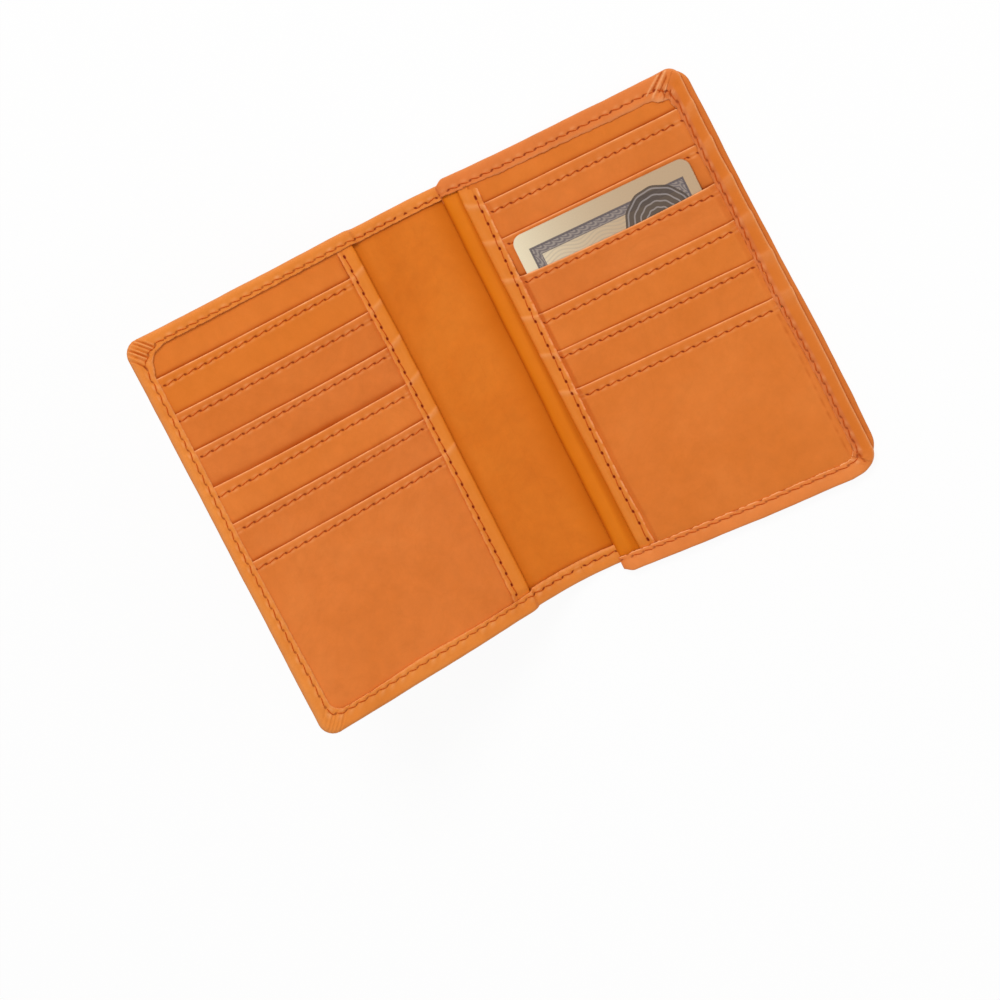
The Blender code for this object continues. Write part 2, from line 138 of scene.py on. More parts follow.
bendReach = wallet["spineWidth"] / 2
bendRadius = bendReach / math.tan(wallet["foldAngle"] / 2)
frontFold = (
    wallet["backFold"] - wallet["spineWidth"] * math.cos(wallet["foldAngle"]),
    wallet["foldLevel"] + wallet["spineWidth"] * math.sin(wallet["foldAngle"]),
)


def smooth(value, low, high):
    share = np.clip((value - low) / (high - low), 0, 1)
    return share * share * (3 - 2 * share)


# Moves a point with the edges near it.
def eased(side, reach, height):
    facts = strays[side]
    low, high = facts["across"]
    out = np.clip((reach - low) / (high - low), 0, 1.1) * np.interp(height, *facts["fore"])
    up = smooth(height, *strays["fade"]) * np.interp(reach, *facts["top"])
    down = smooth(-height, *strays["fade"]) * np.interp(reach, *facts["low"])
    return reach + out, height + up + down


# Points in the frame, in metres. Nearer the fold than bendReach the leather curves.
def placed(side, reach, height, level):
    reach, height, level = np.broadcast_arrays(*(np.asarray(part, float) for part in (reach, height, level)))
    reach, height = eased(side, reach, height)
    rise = level - wallet["foldLevel"]
    turn = np.clip((bendReach - reach) / (2 * bendReach), 0, 1) * wallet["foldAngle"]
    out = np.where(reach < bendReach, bendReach - (bendRadius - rise) * np.sin(turn), reach)
    up = np.where(reach < bendReach, bendRadius - (bendRadius - rise) * np.cos(turn), rise)
    if side != "front":
        x, z = wallet["backFold"] + out, wallet["foldLevel"] + up
    else:
        c, s = math.cos(2 * wallet["foldAngle"]), math.sin(2 * wallet["foldAngle"])
        x, z = frontFold[0] - out * c + up * s, frontFold[1] + out * s + up * c
    return np.stack([x, height, z], axis=-1) * mm


def hump(value, centre, width):
    return np.exp(-(((value - centre) / width) ** 2))


# A smooth uneven line, about -1 to 1, that repeats over no short stretch.
def drift(value, seed, length):
    waves = ((1.0, 0.5), (1.93, 0.3), (3.31, 0.2), (5.7, 0.12))
    return sum(
        size * np.sin(2 * math.pi * value * pitch / length + seed * (2.4 + 1.7 * n) + n)
        for n, (pitch, size) in enumerate(waves)
    )


# A share of painted shade, which stays short of full.
def creased(amount):
    return np.clip(amount, 0, 0.85)


# Height of a pocket's edge, or of its row of stitches, along the reach.
def slotLine(side, number, reach, kind="edges"):
    facts = slots[side]
    curve = np.polyfit(facts["at"], facts[kind][number], 2)
    return np.polyval(curve, reach) + 0.05 * drift(reach, number + 0.3 * len(side), 70)


# Meshes.

# Marks painted on the leather: shade in the stitch holes, highlight and wear, shade, tone, and deep dye with
# shade.
markNames = ("hole", "worn", "crease", "tone", "rich")


def addObject(name, data):
    added = bpy.data.objects.new(name, data)
    bpy.context.scene.collection.objects.link(added)
    return added


# A smooth mesh with the marks that the leather's material reads.
def makePiece(name, points, faces, marks, material):
    mesh = bpy.data.meshes.new(name)
    mesh.from_pydata([tuple(point) for point in points], [], faces)
    for markName, values in marks.items():
        attribute = mesh.attributes.new(markName, "FLOAT", "POINT")
        attribute.data.foreach_set("value", np.asarray(values, np.float32))
    work = bmesh.new()
    work.from_mesh(mesh)
    bmesh.ops.remove_doubles(work, verts=work.verts, dist=1e-6)
    bmesh.ops.dissolve_degenerate(work, edges=work.edges, dist=1e-7)
    bmesh.ops.recalc_face_normals(work, faces=work.faces)
    work.to_mesh(mesh)
    work.free()
    mesh.shade_smooth()
    mesh.materials.append(material)
    return addObject(name, mesh)


# Faces of a tube of closed rings, with its two ends shut.
def tubeFaces(rings, count, base=0):
    faces = []
    last = base + (rings - 1) * count
    for ring in range(base, last, count):
        for n in range(count):
            a, b = ring + n, ring + (n + 1) % count
            faces.append((a, b, b + count, a + count))
    return faces + [list(range(base, base + count))[::-1], list(range(last, last + count))]


# Rings of points along a run, with their marks.
class Sweep:
    def __init__(self, count):
        self.count = count
        self.points, self.under = [], []
        self.marks = {markName: [] for markName in markNames}

    # A ring may be given with the one under it. Those come after all others, in reverse.
    def ring(self, points, under=None, **marks):
        self.points.append(points)
        if under is not None:
            self.under.append(under)
        for markName, values in self.marks.items():
            values.append(np.broadcast_to(np.asarray(marks.get(markName, 0.0), float), (self.count,)))

    # The last ring joins the first and both ends are shut, unless other faces are given.
    def piece(self, name, kind, tone=0.0, others=()):
        for points in reversed(self.under):
            self.ring(points)
        marks = {markName: np.concatenate(values) for markName, values in self.marks.items()}
        marks["tone"] = marks["tone"] + tone
        rings, count, faces = len(self.points), self.count, []
        for ring in range(rings - 1 if others else rings):
            a, b = ring * count, (ring + 1) % rings * count
            faces += [(a + n, a + n + 1, b + n + 1, b + n) for n in range(count - 1)]
        starts = [ring * count for ring in range(rings)]
        faces += others or [starts, [start + count - 1 for start in reversed(starts)]]
        return makePiece(name, np.concatenate(self.points), faces, marks, leathers[kind])


def shown(piece, body, slot, *nodes):
    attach(piece, body)
    if nodes:
        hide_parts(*nodes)


# For leather that crosses a fold: its mesh is baked where it lies, and the parts it stands for are hidden.
def bent(piece, side, slot, *nodes):
    start, end = (tuple(placed(side, reach, 0, wallet["foldLevel"])) for reach in (bendReach, -bendReach))
    side + "_half"
    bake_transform(piece)
    if nodes:
        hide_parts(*nodes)


# Materials.

leather = {
    "cover": {"base": (0.755, 0.232, 0.038), "deep": (0.64, 0.168, 0.018), "pale": (0.85, 0.32, 0.068)},
    "leaf": {"base": (0.730, 0.204, 0.047), "deep": (0.63, 0.158, 0.030), "pale": (0.83, 0.28, 0.082)},
    "pocket": {"base": (0.718, 0.196, 0.036), "deep": (0.61, 0.152, 0.018), "pale": (0.81, 0.26, 0.057)},
    "lining": {"base": (0.682, 0.178, 0.015), "deep": (0.58, 0.130, 0.009), "pale": (0.77, 0.24, 0.028)},
    # pale: painted highlight on folds, puffs, ridges and humps, and wear on cut edges
    "worn": (0.95, 0.44, 0.19),
    # dark: painted shade in creases, hollows, seams and under edges
    "crease": (0.41, 0.058, 0.0010),
    "rich": (0.72, 0.190, 0.004),  # deep orange: painted as shade in the gutter's valleys and on the bindings' edges, and where the dye is deepest
    # painted shade inside the stitch holes
    "hole": (0.20, 0.009, 0.0003),
    "roughness": 0.55,
    "specular": 0.08,
    "blotch": 26.0,  # millimetres across
    "patchShares": (0.36, 0.34, 0.13),  # of deep patches, pale patches and veins
    "mottle": 0.24,
    "grain": 0.55,
    "bump": 0.10,
}
waxed = {
    "dark": (0.41, 0.030, 0.001),
    "light": (0.60, 0.088, 0.005),
    "patch": (0.66, 0.145, 0.014),
    "patchShare": 0.5,
    "roughness": 0.8,
    "specular": 0.05,
    "bump": 0.5,
}


# A number, place or colour in a shader tree. Sums, products and comparisons make nodes.
class Field:
    def __init__(self, tree, socket):
        self.tree, self.socket = tree, socket

    def maths(self, operation, *others):
        return field(self.tree, "ShaderNodeMath", 0, dict(enumerate((self, *others))), operation=operation)

    def clamped(self):
        self.socket.node.use_clamp = True
        return self

    def __add__(self, other):
        return self.maths("ADD", other)

    def __sub__(self, other):
        return self.maths("SUBTRACT", other)

    def __mul__(self, other):
        return self.maths("MULTIPLY", other)

    def __pow__(self, other):
        return self.maths("POWER", other)

    def __lt__(self, other):
        return self.maths("LESS_THAN", other)

    def __gt__(self, other):
        return self.maths("GREATER_THAN", other)

    def __abs__(self):
        return self.maths("ABSOLUTE")


def addNode(tree, kind, inputs=None, **settings):
    node = tree.nodes.new(kind)
    for label, value in settings.items():
        setattr(node, label, value)
    for label, value in (inputs or {}).items():
        socket = node.inputs[label]
        if isinstance(value, Field):
            tree.links.new(value.socket, socket)
        elif socket.type == "RGBA":
            socket.default_value = (*value, 1)
        else:
            socket.default_value = value
    return node


# A new node's output, as a field.
def field(tree, kind, output, inputs=None, **settings):
    return Field(tree, addNode(tree, kind, inputs, **settings).outputs[output])


def mixColour(share, first, second, blend="MIX"):
    tree = next(part.tree for part in (share, first, second) if isinstance(part, Field))
    return field(tree, "ShaderNodeMix", 2, {0: share, 6: first, 7: second}, data_type="RGBA", blend_type=blend)


def noise(place, scale, detail, roughness=0.5, distortion=0.0):
    inputs = {"Vector": place, "Scale": scale, "Detail": detail}
    inputs.update({"Roughness": roughness, "Distortion": distortion})
    return field(place.tree, "ShaderNodeTexNoise", "Fac", inputs)


def objectPlace(tree):
    return field(tree, "ShaderNodeTexCoord", "Object")


# A colour made darker or lighter; red may change less.
def shaded(colour, shade, redShade=None):
    inputs = {"Red": redShade or shade, "Green": shade, "Blue": shade}
    return mixColour(1.0, colour, field(shade.tree, "ShaderNodeCombineColor", 0, inputs), "MULTIPLY")


# A shader group with colours and numbers going in, and what make gives of them coming out.
def makeGroup(name, inputs, make):
    group = bpy.data.node_groups.new(name, "ShaderNodeTree")
    for label, value in inputs.items():
        kind = "NodeSocketColor" if isinstance(value, tuple) else "NodeSocketFloat"
        socket = group.interface.new_socket(label, in_out="INPUT", socket_type=kind)
        socket.default_value = (*value, 1) if isinstance(value, tuple) else value
    given = group.nodes.new("NodeGroupInput").outputs
    results = make(objectPlace(group), *(Field(group, given[label]) for label in inputs))
    result = group.nodes.new("NodeGroupOutput")
    for label, value in results.items():
        kind = "NodeSocketColor" if label == "Color" else "NodeSocketFloat"
        group.interface.new_socket(label, in_out="OUTPUT", socket_type=kind)
        group.links.new(value.socket, result.inputs[label])
    return group


# The uneven colour of dyed leather: large soft patches, small mottling and veins.
def leatherTone(place, base, deep, pale, patchScale):
    patches = noise(place, patchScale, 4.0, 0.62, 0.6)
    mottle = noise(place, 240.0, 5.0, 0.7)
    veins = noise(place, 34.0, 6.0, 0.6, 2.2)
    low = ((patches - 0.54) * -4.2).clamped()
    high = ((patches - 0.53) * 4.0).clamped()
    vein = (abs(veins - 0.5) * -38.0 + 1.0).clamped()
    lowShare, highShare, veinShare = leather["patchShares"]
    colour = mixColour(low * lowShare, base, deep)
    colour = mixColour(high * highShare, colour, pale)
    colour = mixColour(vein * veinShare, colour, deep)
    return {"Color": shaded(colour, (mottle - 0.5) * leather["mottle"] + 1.0)}


# Painted shade in holes and creases, painted highlight and wear on folds and cut edges, and tone and deep dye
# with painted shade, read from the mesh.
def leatherMarks(place, colour, worn, crease, rich, hole, roughness):
    read = {}
    for markName in markNames:
        read[markName] = field(place.tree, "ShaderNodeAttribute", "Fac", attribute_name=markName)
    wearAndHighlightShare = (read["worn"] * (noise(place, 900.0, 3.0) * 1.1 + 0.42)).clamped()
    shade = read["tone"] + 1.0
    colour = shaded(colour, shade, shade**0.6)
    # in turn: deep dye and painted shade, painted highlight and wear, painted shade, then painted shade in the
    # holes
    for share, other in ((read["rich"], rich), (wearAndHighlightShare, worn), (read["crease"], crease), (read["hole"], hole)):
        colour = mixColour(share, colour, other)
    return {"Color": colour, "Roughness": read["crease"] * 0.25 + roughness}


# Fine pebbled grain with a few longer wrinkles, as a height.
def leatherGrain(place, grainScale, wrinkleScale):
    inputs = {"Vector": place, "Scale": grainScale}
    cells = field(place.tree, "ShaderNodeTexVoronoi", "Distance", inputs, feature="SMOOTH_F1")
    pores = noise(place, 700.0, 6.0, 0.7)
    wrinkles = noise(place, wrinkleScale, 4.0, distortion=1.2)
    return {"Height": cells * 0.25 + wrinkles * 1.4 + pores * 0.5}


toneInputs = {"Base": (0.7, 0.2, 0.04), "Deep": (0.5, 0.1, 0.02), "Pale": (0.8, 0.3, 0.08), "Patch Scale": 40.0}
toneGroup = makeGroup("leatherTone", toneInputs, leatherTone)
markInputs = {"Color": (0.7, 0.2, 0.04)}
markInputs.update({key.capitalize(): leather[key] for key in ("worn", "crease", "rich", "hole", "roughness")})
marksGroup = makeGroup("leatherMarks", markInputs, leatherMarks)
grainInputs = {"Grain Scale": 1000 / leather["grain"], "Wrinkle Scale": 110.0}
grainGroup = makeGroup("leatherGrain", grainInputs, leatherGrain)


# A material whose bump comes from a height; distance is in metres.
def makeMaterial(name, make, strength, distance, specular=0.5):
    material = bpy.data.materials.new(name)
    material.use_nodes = True
    tree = material.node_tree
    colour, roughness, height = make(tree)
    bump = addNode(tree, "ShaderNodeBump", {"Height": height, "Strength": strength, "Distance": distance})
    inputs = {"Base Color": colour, "Roughness": roughness, "Normal": Field(tree, bump.outputs[0])}
    shader = tree.nodes["Principled BSDF"]
    for label, value in (*inputs.items(), ("Specular IOR Level", specular)):
        if isinstance(value, Field):
            tree.links.new(value.socket, shader.inputs[label])
        else:
            shader.inputs[label].default_value = value
    return material


def makeLeather(name):
    def make(tree):
        inputs = {label: leather[name][label.lower()] for label in ("Base", "Deep", "Pale")}
        inputs["Patch Scale"] = 1000 / leather["blotch"]
        tone = field(tree, "ShaderNodeGroup", 0, inputs, node_tree=toneGroup)
        marks = addNode(tree, "ShaderNodeGroup", {"Color": tone}, node_tree=marksGroup)
        height = field(tree, "ShaderNodeGroup", 0, node_tree=grainGroup)
        return *(Field(tree, marks.outputs[label]) for label in ("Color", "Roughness")), height

    return makeMaterial(name + "Leather", make, leather["bump"], 0.4 * mm, leather["specular"])


def makeThreadColour(tree):
    place = objectPlace(tree)
    twist = noise(place, 1500.0, 2.0)
    colour = mixColour(twist, waxed["dark"], waxed["light"])
    colour = mixColour(noise(place, 90.0, 2.0) * waxed["patchShare"], colour, waxed["patch"])
    return colour, waxed["roughness"], twist


leathers = {name: makeLeather(name) for name in ("cover", "leaf", "pocket", "lining")}
threadMaterial = makeMaterial("waxedThread", makeThreadColour, waxed["bump"], 0.1 * mm, waxed["specular"])
print("materials: made")

# Stitches.

stitch = {
    "thread": 0.125,  # radius
    "sides": 7,
    "steps": 9,
    "holeLong": 0.56,
    "holeShort": 0.26,
    "holeSlant": math.radians(30),
    "holeDepth": 0.18,
    "arch": 0.05,
    "reach": 0.80,  # share of the pitch that a stitch shows over
    "hemPast": 1.05,  # the least that a hem reaches past its seam
    "band": (-0.9, -0.6, -0.4, -0.2, 0.0, 0.2, 0.4, 0.6, 0.9),  # rows of points across a seam
}


# 0 at the holes of a row and 1 halfway between them.
def between(along, pitch):
    return 0.5 - 0.5 * np.cos(2 * math.pi * along / pitch)


# How far a point is inside one of the slanted holes of a row, 0 to 1.
def holeMark(along, across, pitch, slant=1.0):
    step = along - np.round(along / pitch) * pitch
    c, s = math.cos(stitch["holeSlant"]), math.sin(stitch["holeSlant"]) * slant
    longWay, shortWay = step * c + across * s, across * c - step * s
    far = (longWay / stitch["holeLong"]) ** 2 + (shortWay / stitch["holeShort"]) ** 2
    return smooth(1.5 - far, 0.0, 1.0)


# Leather drawn down along a row, most at its holes.
def seamDip(along, across, pitch, depth=1.0):
    return -depth * (0.17 - 0.10 * between(along, pitch)) * hump(across, 0, 0.55)


# Leather that puffs up between the holes, on a row's outer side and on its inner side.
def seamPuff(along, across, pitch, seed, inner=0.0):
    bulge = hump(across, -0.62, 0.38) + inner * hump(across, 0.62, 0.30)
    return 0.10 * between(along, pitch) ** 1.5 * (0.7 + 0.5 * drift(along, seed, 17)) * bulge


# How far a cut edge strays from its line.
def raggedLine(along, pitch, seed):
    even = 0.04 * np.cos(2 * math.pi * along / pitch + 0.6)
    return even + 0.12 * drift(along, seed, 7.1) + 0.07 * drift(along, seed + 2, 2.3)


def unit(vectors):
    return vectors / np.linalg.norm(vectors, axis=1)[:, None]


# A row of stitches on a half's surface, each from hole to hole. It runs along a line, and a
# second line beside it gives the way across. Out is -1 on the outside of the cover.
def makeThread(name, side, along, line, beside, level, pitch, slant=1.0, out=1.0, keep=slice(None)):
    line, beside = np.array(line)[:, keep], np.array(beside)[:, keep]
    along, level = along[keep], np.broadcast_to(level, along.shape)[keep]
    centre = placed(side, *line, level)
    up = unit(placed(side, *line, level + 0.5) - centre) * out
    curves = (centre, unit(placed(side, *beside, level) - centre), up)
    first, last = math.ceil((along[0] + 0.3) / pitch), math.floor((along[-1] - 0.3) / pitch)
    steps, sides = stitch["steps"], stitch["sides"]
    shares = np.linspace(0.0, 1.0, steps)
    ends = np.abs(2 * shares - 1)  # 0 in the middle of a stitch
    lift = (stitch["arch"] - 0.46 * ends**5) * mm
    aside = 0.25 * slant * np.cos(math.pi * shares) * mm
    girth = stitch["thread"] * (1 - 0.35 * ends**4) * mm
    angles = 2 * math.pi * np.arange(sides)[:, None] / sides
    points, faces = [], []
    for number in range(first, last):
        at = (number + 0.5 + (shares - 0.5) * stitch["reach"]) * pitch
        middle, across, above = (
            np.stack([np.interp(at, along, curve[:, axis]) for axis in range(3)], axis=-1) for curve in curves
        )
        run = middle + across * aside[:, None] + above * lift[:, None]
        tangent = unit(np.gradient(run, axis=0))
        wide = unit(np.cross(tangent, above))
        over = np.cross(wide, tangent)
        around = wide[:, None] * np.cos(angles) + 0.85 * over[:, None] * np.sin(angles)
        faces += tubeFaces(steps, sides, len(points) * steps * sides)
        points.append((run[:, None] + girth[:, None, None] * around).reshape(-1, 3))
    return makePiece(name, np.concatenate(points), faces, {}, threadMaterial)


# The rim that goes round a half.

sampling = {
    "step": 0.34,
    "fineStep": 0.2,
    "near": 7.0,  # of a corner, where the fine steps are
    "cornerSteps": 46,
}


# Samples along a half's edge: the top, the fore edge and the bottom, closer together near
# the corners. Radii are given for the upper and the lower corner. The seam runs inside it.
class Rim:
    def __init__(self, start, reach, top, facts):
        self.start, self.reach, self.top = start, reach, top
        self.cut, self.cutWidth = facts["cut"], facts["cutWidth"]
        radii, innerRadii = facts["corner"], facts["innerCorner"]
        step, near = sampling["step"], sampling["near"]
        fine = np.linspace(0, near, round(near / sampling["fineStep"]))[:-1]

        def straight(radius):
            end = reach - radius - near
            coarse = np.linspace(start + 0.06, end, round((end - start) / step))
            return np.concatenate([[start], coarse, reach - radius - fine[::-1]])

        above, below = straight(radii[0]), straight(radii[1])[::-1]
        high, low = top - radii[0], radii[1] - top
        middle = np.linspace(high - near, low + near, round((high - low - 2 * near) / step))
        fore = np.concatenate([high - fine, middle, low + fine[::-1]])
        turn = np.linspace(math.pi / 2, 0, sampling["cornerSteps"])[1:-1]
        share = (high - fore) / (high - low)  # of the way down the fore edge
        spans = (len(above), len(turn), len(fore), len(turn), len(below))

        def joined(*parts):
            return np.concatenate([np.broadcast_to(part, span) for part, span in zip(parts, spans)])

        self.radius, self.innerRadius = (
            joined(upper, upper, upper + (lower - upper) * share, lower, lower)
            for upper, lower in (radii, innerRadii)
        )
        self.anchorHeight = joined(high, high, fore, low, low)
        angle = joined(math.pi / 2, turn, 0.0, turn - math.pi / 2, -math.pi / 2)
        self.onFore = joined(False, False, True, False, False)
        anchors = joined(above, reach - radii[0], 0, reach - radii[1], below)
        self.anchorReach = np.where(self.onFore, reach - self.radius, anchors)
        self.outReach, self.outHeight = np.cos(angle), np.sin(angle)
        self.count = len(angle)
        self.topCorner = np.clip(1 - angle / (math.pi / 2), 0, 1)  # 0 to 1 round the upper corner
        self.lowCorner = np.clip(-angle / (math.pi / 2), 0, 1)
        self.fore = self.topCorner - self.lowCorner
        self.outline = self.at(0.0)
        self.stitchIn = self.widths(facts["stitch"])
        self.hemIn = np.maximum(self.widths(facts["hem"]), self.stitchIn + stitch["hemPast"])
        # the seam's line, a line beside it and the distance along it
        self.seam, self.besideSeam = (self.at(self.stitchIn + out, 1.0) for out in (0.0, 0.5))
        self.along = np.concatenate([[0], np.cumsum(np.hypot(*np.diff(self.seam)))])

    # Reach and height of the line that runs this far inside the edge. A share of the cut
    # takes it further in across the corners, most on the diagonal.
    def at(self, inset, cutShare=0.0):
        inset = np.broadcast_to(np.asarray(inset, float), (self.count,))
        turn = np.maximum(self.radius - inset * (self.radius - self.innerRadius) / 4, self.innerRadius)
        span = (self.reach - inset - turn - self.start) / (self.reach - self.radius - self.start)
        reach = self.start + (self.anchorReach - self.start) * span + self.outReach * turn
        height = self.anchorHeight * (self.top - inset - turn) / (self.top - self.radius)
        height = height + self.outHeight * turn
        near = np.clip(1 - (self.aside(reach, height) / self.cutWidth) ** 2, 0, 1) ** 2
        push = np.where(height > 0, *self.cut) * cutShare * near / math.sqrt(2)
        return reach - push, height - np.sign(height) * push

    # How far points are from the diagonal of their corner.
    def aside(self, reach, height):
        return ((reach - self.reach) - (np.abs(height) - self.top)) / math.sqrt(2)

    # Widths that change along the edge, from tables for its top, fore edge and bottom.
    def widths(self, facts):
        reach, height = self.outline
        top, low = np.interp(reach, *facts["top"]), np.interp(reach, *facts["low"])
        fore = np.interp(height, *facts["fore"])
        return top * (1 - self.topCorner) + fore * self.fore + low * self.lowCorner


# Where the pockets' folded edges push up what lies over their ends.
def slotHumps(side, reach, height, width=1.0, low=2.2):
    total = 0 * height
    for number in range(len(slots[side]["edges"])):
        below = slotLine(side, number, reach) - height
        total = total + hump(below, 0, np.where(below < 0, 0.55 * width, low * width))
    return np.clip(total, 0, 1)


# The cover, with its edge turned over.

cover = {
    # cut is how much further in the seam runs at the upper and the lower corner
    "front": {"corner": (4.1, 4.6), "innerCorner": (2.4, 3.4), "cut": (1.9, 0.4), "seeds": (3.1, 1.3)},
    "back": {"corner": (4.8, 7.5), "innerCorner": (2.4, 5.0), "cut": (0.0, 0.0), "seeds": (5.2, 2.9)},
    "stitch": {
        "top": ((12.5, 14.5), (3.0, 3.1)),
        "fore": ((-47, -30, 0), (3.3, 2.85, 2.5)),
        "low": ((12, 14.5), (3.6, 4.2)),
    },
    "hem": {
        "top": ((12.5, 14.5), (4.1, 3.95)),
        "fore": ((-45, -30, 0), (4.7, 4.35, 4.0)),
        "low": ((12, 20, 30, 50, 57, 65, 75), (5.5, 5.2, 5.2, 5.9, 5.9, 5.5, 5.1)),
    },
    "cutWidth": 4.6,  # how far from a corner's diagonal the cut reaches
    "outerStitch": 3.5,
    "pitch": 3.4,
    "rim": 1.15,  # how far in the rolled edge reaches
    "ply": 0.8,
    "pleatPitch": 1.18,
    "pleatSpread": 3.9,  # from a corner's diagonal
    "lowPleats": 0.3,  # how deep they are at the lower corner, as a share of the upper's
    "middle": 6.4,  # where the flat middle begins
}


def makeCover(side):
    isFront = side == "front"
    half = side if isFront else "outside"
    rim = Rim(-bendReach, wallet["reach"], wallet["coverTop"], {**cover, **cover[side]})
    count, pitch, stitchIn, hemIn = rim.count, cover["pitch"], rim.stitchIn, rim.hemIn
    edgeReach, edgeHeight = rim.outline
    if isFront:
        inFold = 1 - smooth(edgeReach, 12.4, 14.2)
        full = 3.05 - 0.95 * inFold + 0.14 * rim.fore * slotHumps(side, wallet["slotEnd"], edgeHeight)
    else:
        inFold = 1 - smooth(edgeReach, 7.2, 8.0)
        full = 1.48 + 0.62 * inFold
    fullSeed, wobbleSeed = cover[side]["seeds"]
    full = full + 0.07 * drift(rim.along, fullSeed, 23)
    wobble = 0.06 * drift(rim.along, wobbleSeed, 31)
    ragged = 0.45 * raggedLine(rim.along, pitch, 7.7)
    inner = isFront * (rim.fore + rim.lowCorner)  # the turned edge puffs up inside its seam
    beside = (isFront - 1) * 0.28 * rim.fore  # the strip beside the leaf is darker

    # Folds of the gathered leather at the corners, -1 to 1, side by side along the diagonal.
    def gathered(reach, height):
        aside = rim.aside(reach, height)
        depth = np.where(height > 0, 1.0, cover["lowPleats"]) * isFront
        spread = smooth(cover["pleatSpread"] - np.abs(aside), 0, 0.9)
        inward = np.abs(height) + reach - wallet["reach"] - wallet["coverTop"]
        turn = 2 * math.pi * aside / cover["pleatPitch"] + 0.9 * np.sin(aside * 0.8 + 0.5) + 0.12 * inward
        return depth * spread * (0.85 + 0.3 * np.sin(aside * 2.1)) * np.cos(turn)

    edgePleat = gathered(*rim.outline)
    sweep = Sweep(count)

    def add(inset, level, shift=1.0, pleats=0.0, **marks):
        line = rim.at(inset - wobble * shift, smooth(inset, 1.2, 2.6))
        pleat = gathered(*line) * pleats
        # pleats' crests get a painted highlight and their hollows painted shade
        marks["worn"] = np.maximum(marks.get("worn", 0.0), 0.42 * smooth(pleat, 0.2, 1.0))
        marks["crease"] = np.maximum(marks.get("crease", 0.0), 0.75 * smooth(-pleat, 0.1, 1.0))
        sweep.ring(placed(half, *line, level + 0.24 * pleat), **marks)

    # the outside, from the flat middle to the edge, with painted shade in its seam's holes and along it
    add(cover["middle"], 0.0, 0)
    for across in reversed(stitch["band"]):
        hole = holeMark(rim.along, across, pitch, -1)
        level = -seamDip(rim.along, across, pitch) * 0.9 + hole * stitch["holeDepth"] + 0.03
        level = level if abs(across) < 0.9 else 0.0
        add(cover["outerStitch"] + across, level, 0, hole=hole, crease=0.12 * hump(across, 0, 0.5))
    add(1.7, 0.0, 0.3)
    # round the edge, with a painted highlight where it turns up
    for turn in np.radians(np.linspace(-80, 84, 11)):
        up = math.sin(turn)
        inset = cover["rim"] * (1 - math.cos(turn)) - edgePleat * 0.13 * smooth(up, -0.4, 0.6)
        marks = {"worn": 0.22 * hump(up, 0.45, 0.4) * (1 + 3 * beside), "tone": beside * smooth(up, -0.3, 0.4)}
        add(inset, full / 2 * (1 + up), 1, 0.8 * smooth(up, 0, 0.9), **marks)
    # the turned edge over the pockets
    for share in (0.15, 0.5):
        add(1.3 + (stitchIn - 2.2) * share, full + 0.05, 0.6, 1.0, tone=beside)
    # the seam: painted shade in its holes and along it, painted highlight on the puffs
    for across in stitch["band"]:
        hole = holeMark(rim.along, across, pitch, 1)
        puff = seamPuff(rim.along, across, pitch, 2.0, inner)
        level = full + seamDip(rim.along, across, pitch, 0.6 + 0.4 * inFold) - hole * stitch["holeDepth"] + puff
        crease = (0.10 + 0.10 * inFold) * hump(across, 0, 0.4)
        marks = {"hole": hole * (0.55 + 0.35 * inFold), "worn": 3.4 * puff, "crease": crease}
        add(stitchIn + across, level, 0.3, smooth(-across, -0.9, 0.5), **marks)
    # the cut edge, pale with wear and painted highlight, and painted shade on its side and under it
    lip = 0.05 * drift(rim.along, 3.3, 2.6)
    add(hemIn - 0.12 + ragged, full - 0.02 + lip, 0, 0.2, worn=0.30 + 3 * lip)
    add(hemIn + ragged, full - 0.20 + lip, 0, worn=0.40)
    add(hemIn + 0.02 + ragged, full - 0.62, 0, crease=0.08 + 0.67 * inFold)
    add(hemIn - 0.6, full - 0.75, 0, crease=0.15 + 0.6 * inFold)
    add(1.5, full - 0.85, 0)
    # the inner face of the ply
    add(1.15, full / 2 + 0.1, 0)
    add(1.5, cover["ply"], 0)
    add(cover["middle"], cover["ply"], 0)

    # both faces of the middle, in strips across the bend, and the cut end in the spine
    rings = len(sweep.points)
    bendEnd = int(np.searchsorted(edgeReach[: count // 3], bendReach))
    others = []
    for base in (0, (rings - 1) * count):
        low = base + count - 1
        others += [(base + n, base + n + 1, low - n - 1, low - n) for n in range(bendEnd)]
        others.append(list(range(base + bendEnd, base + count - bendEnd)))
    starts = [ring * count for ring in range(rings)]
    others.append(starts + [start + count - 1 for start in reversed(starts)])
    piece = sweep.piece(side + "Cover", "cover", 0.0, others)
    bent(piece, side, "cover_leather", side + "_cover", "spine_cover")

    # stitches seen inside and outside
    if isFront:
        spans, nodes = {"frontSeamThread": slice(None)}, ("front_seam_thread",)
    else:
        inLeaf = int(np.searchsorted(edgeReach[: count // 3], 7.6))
        spans = {"backFoldThreadTop": slice(inLeaf), "backFoldThreadLow": slice(count - inLeaf, count)}
        nodes = ("spine_thread_top", "spine_thread_bottom")
    for name, keep in spans.items():
        thread = makeThread(name, half, rim.along, rim.seam, rim.besideSeam, full - 0.02, pitch, keep=keep)
        bent(thread, side, "thread", *nodes)
    lines = (rim.at(cover["outerStitch"] + out) for out in (0.0, 0.5))
    bent(makeThread(side + "OutsideThread", half, rim.along, *lines, 0.20, pitch, -1, out=-1), side, "thread")


for side in ("front", "back"):
    makeCover(side)
print("cover: made")

# The lining in the gutter.

lining = {
    "level": 1.35,
    "ply": 0.4,
    "end": 34.0,
    "inset": 2.2,  # how far it ends inside the cover's top and bottom
    "columns": 110,
    "rows": 70,
    # the seed of each half's swell, and the width and power of the dip beside its pockets, which is painted
    # with shade
    "front": (1.0, 4.2, 1.4),
    "back": (2.2, 9.0, 2.0),
}


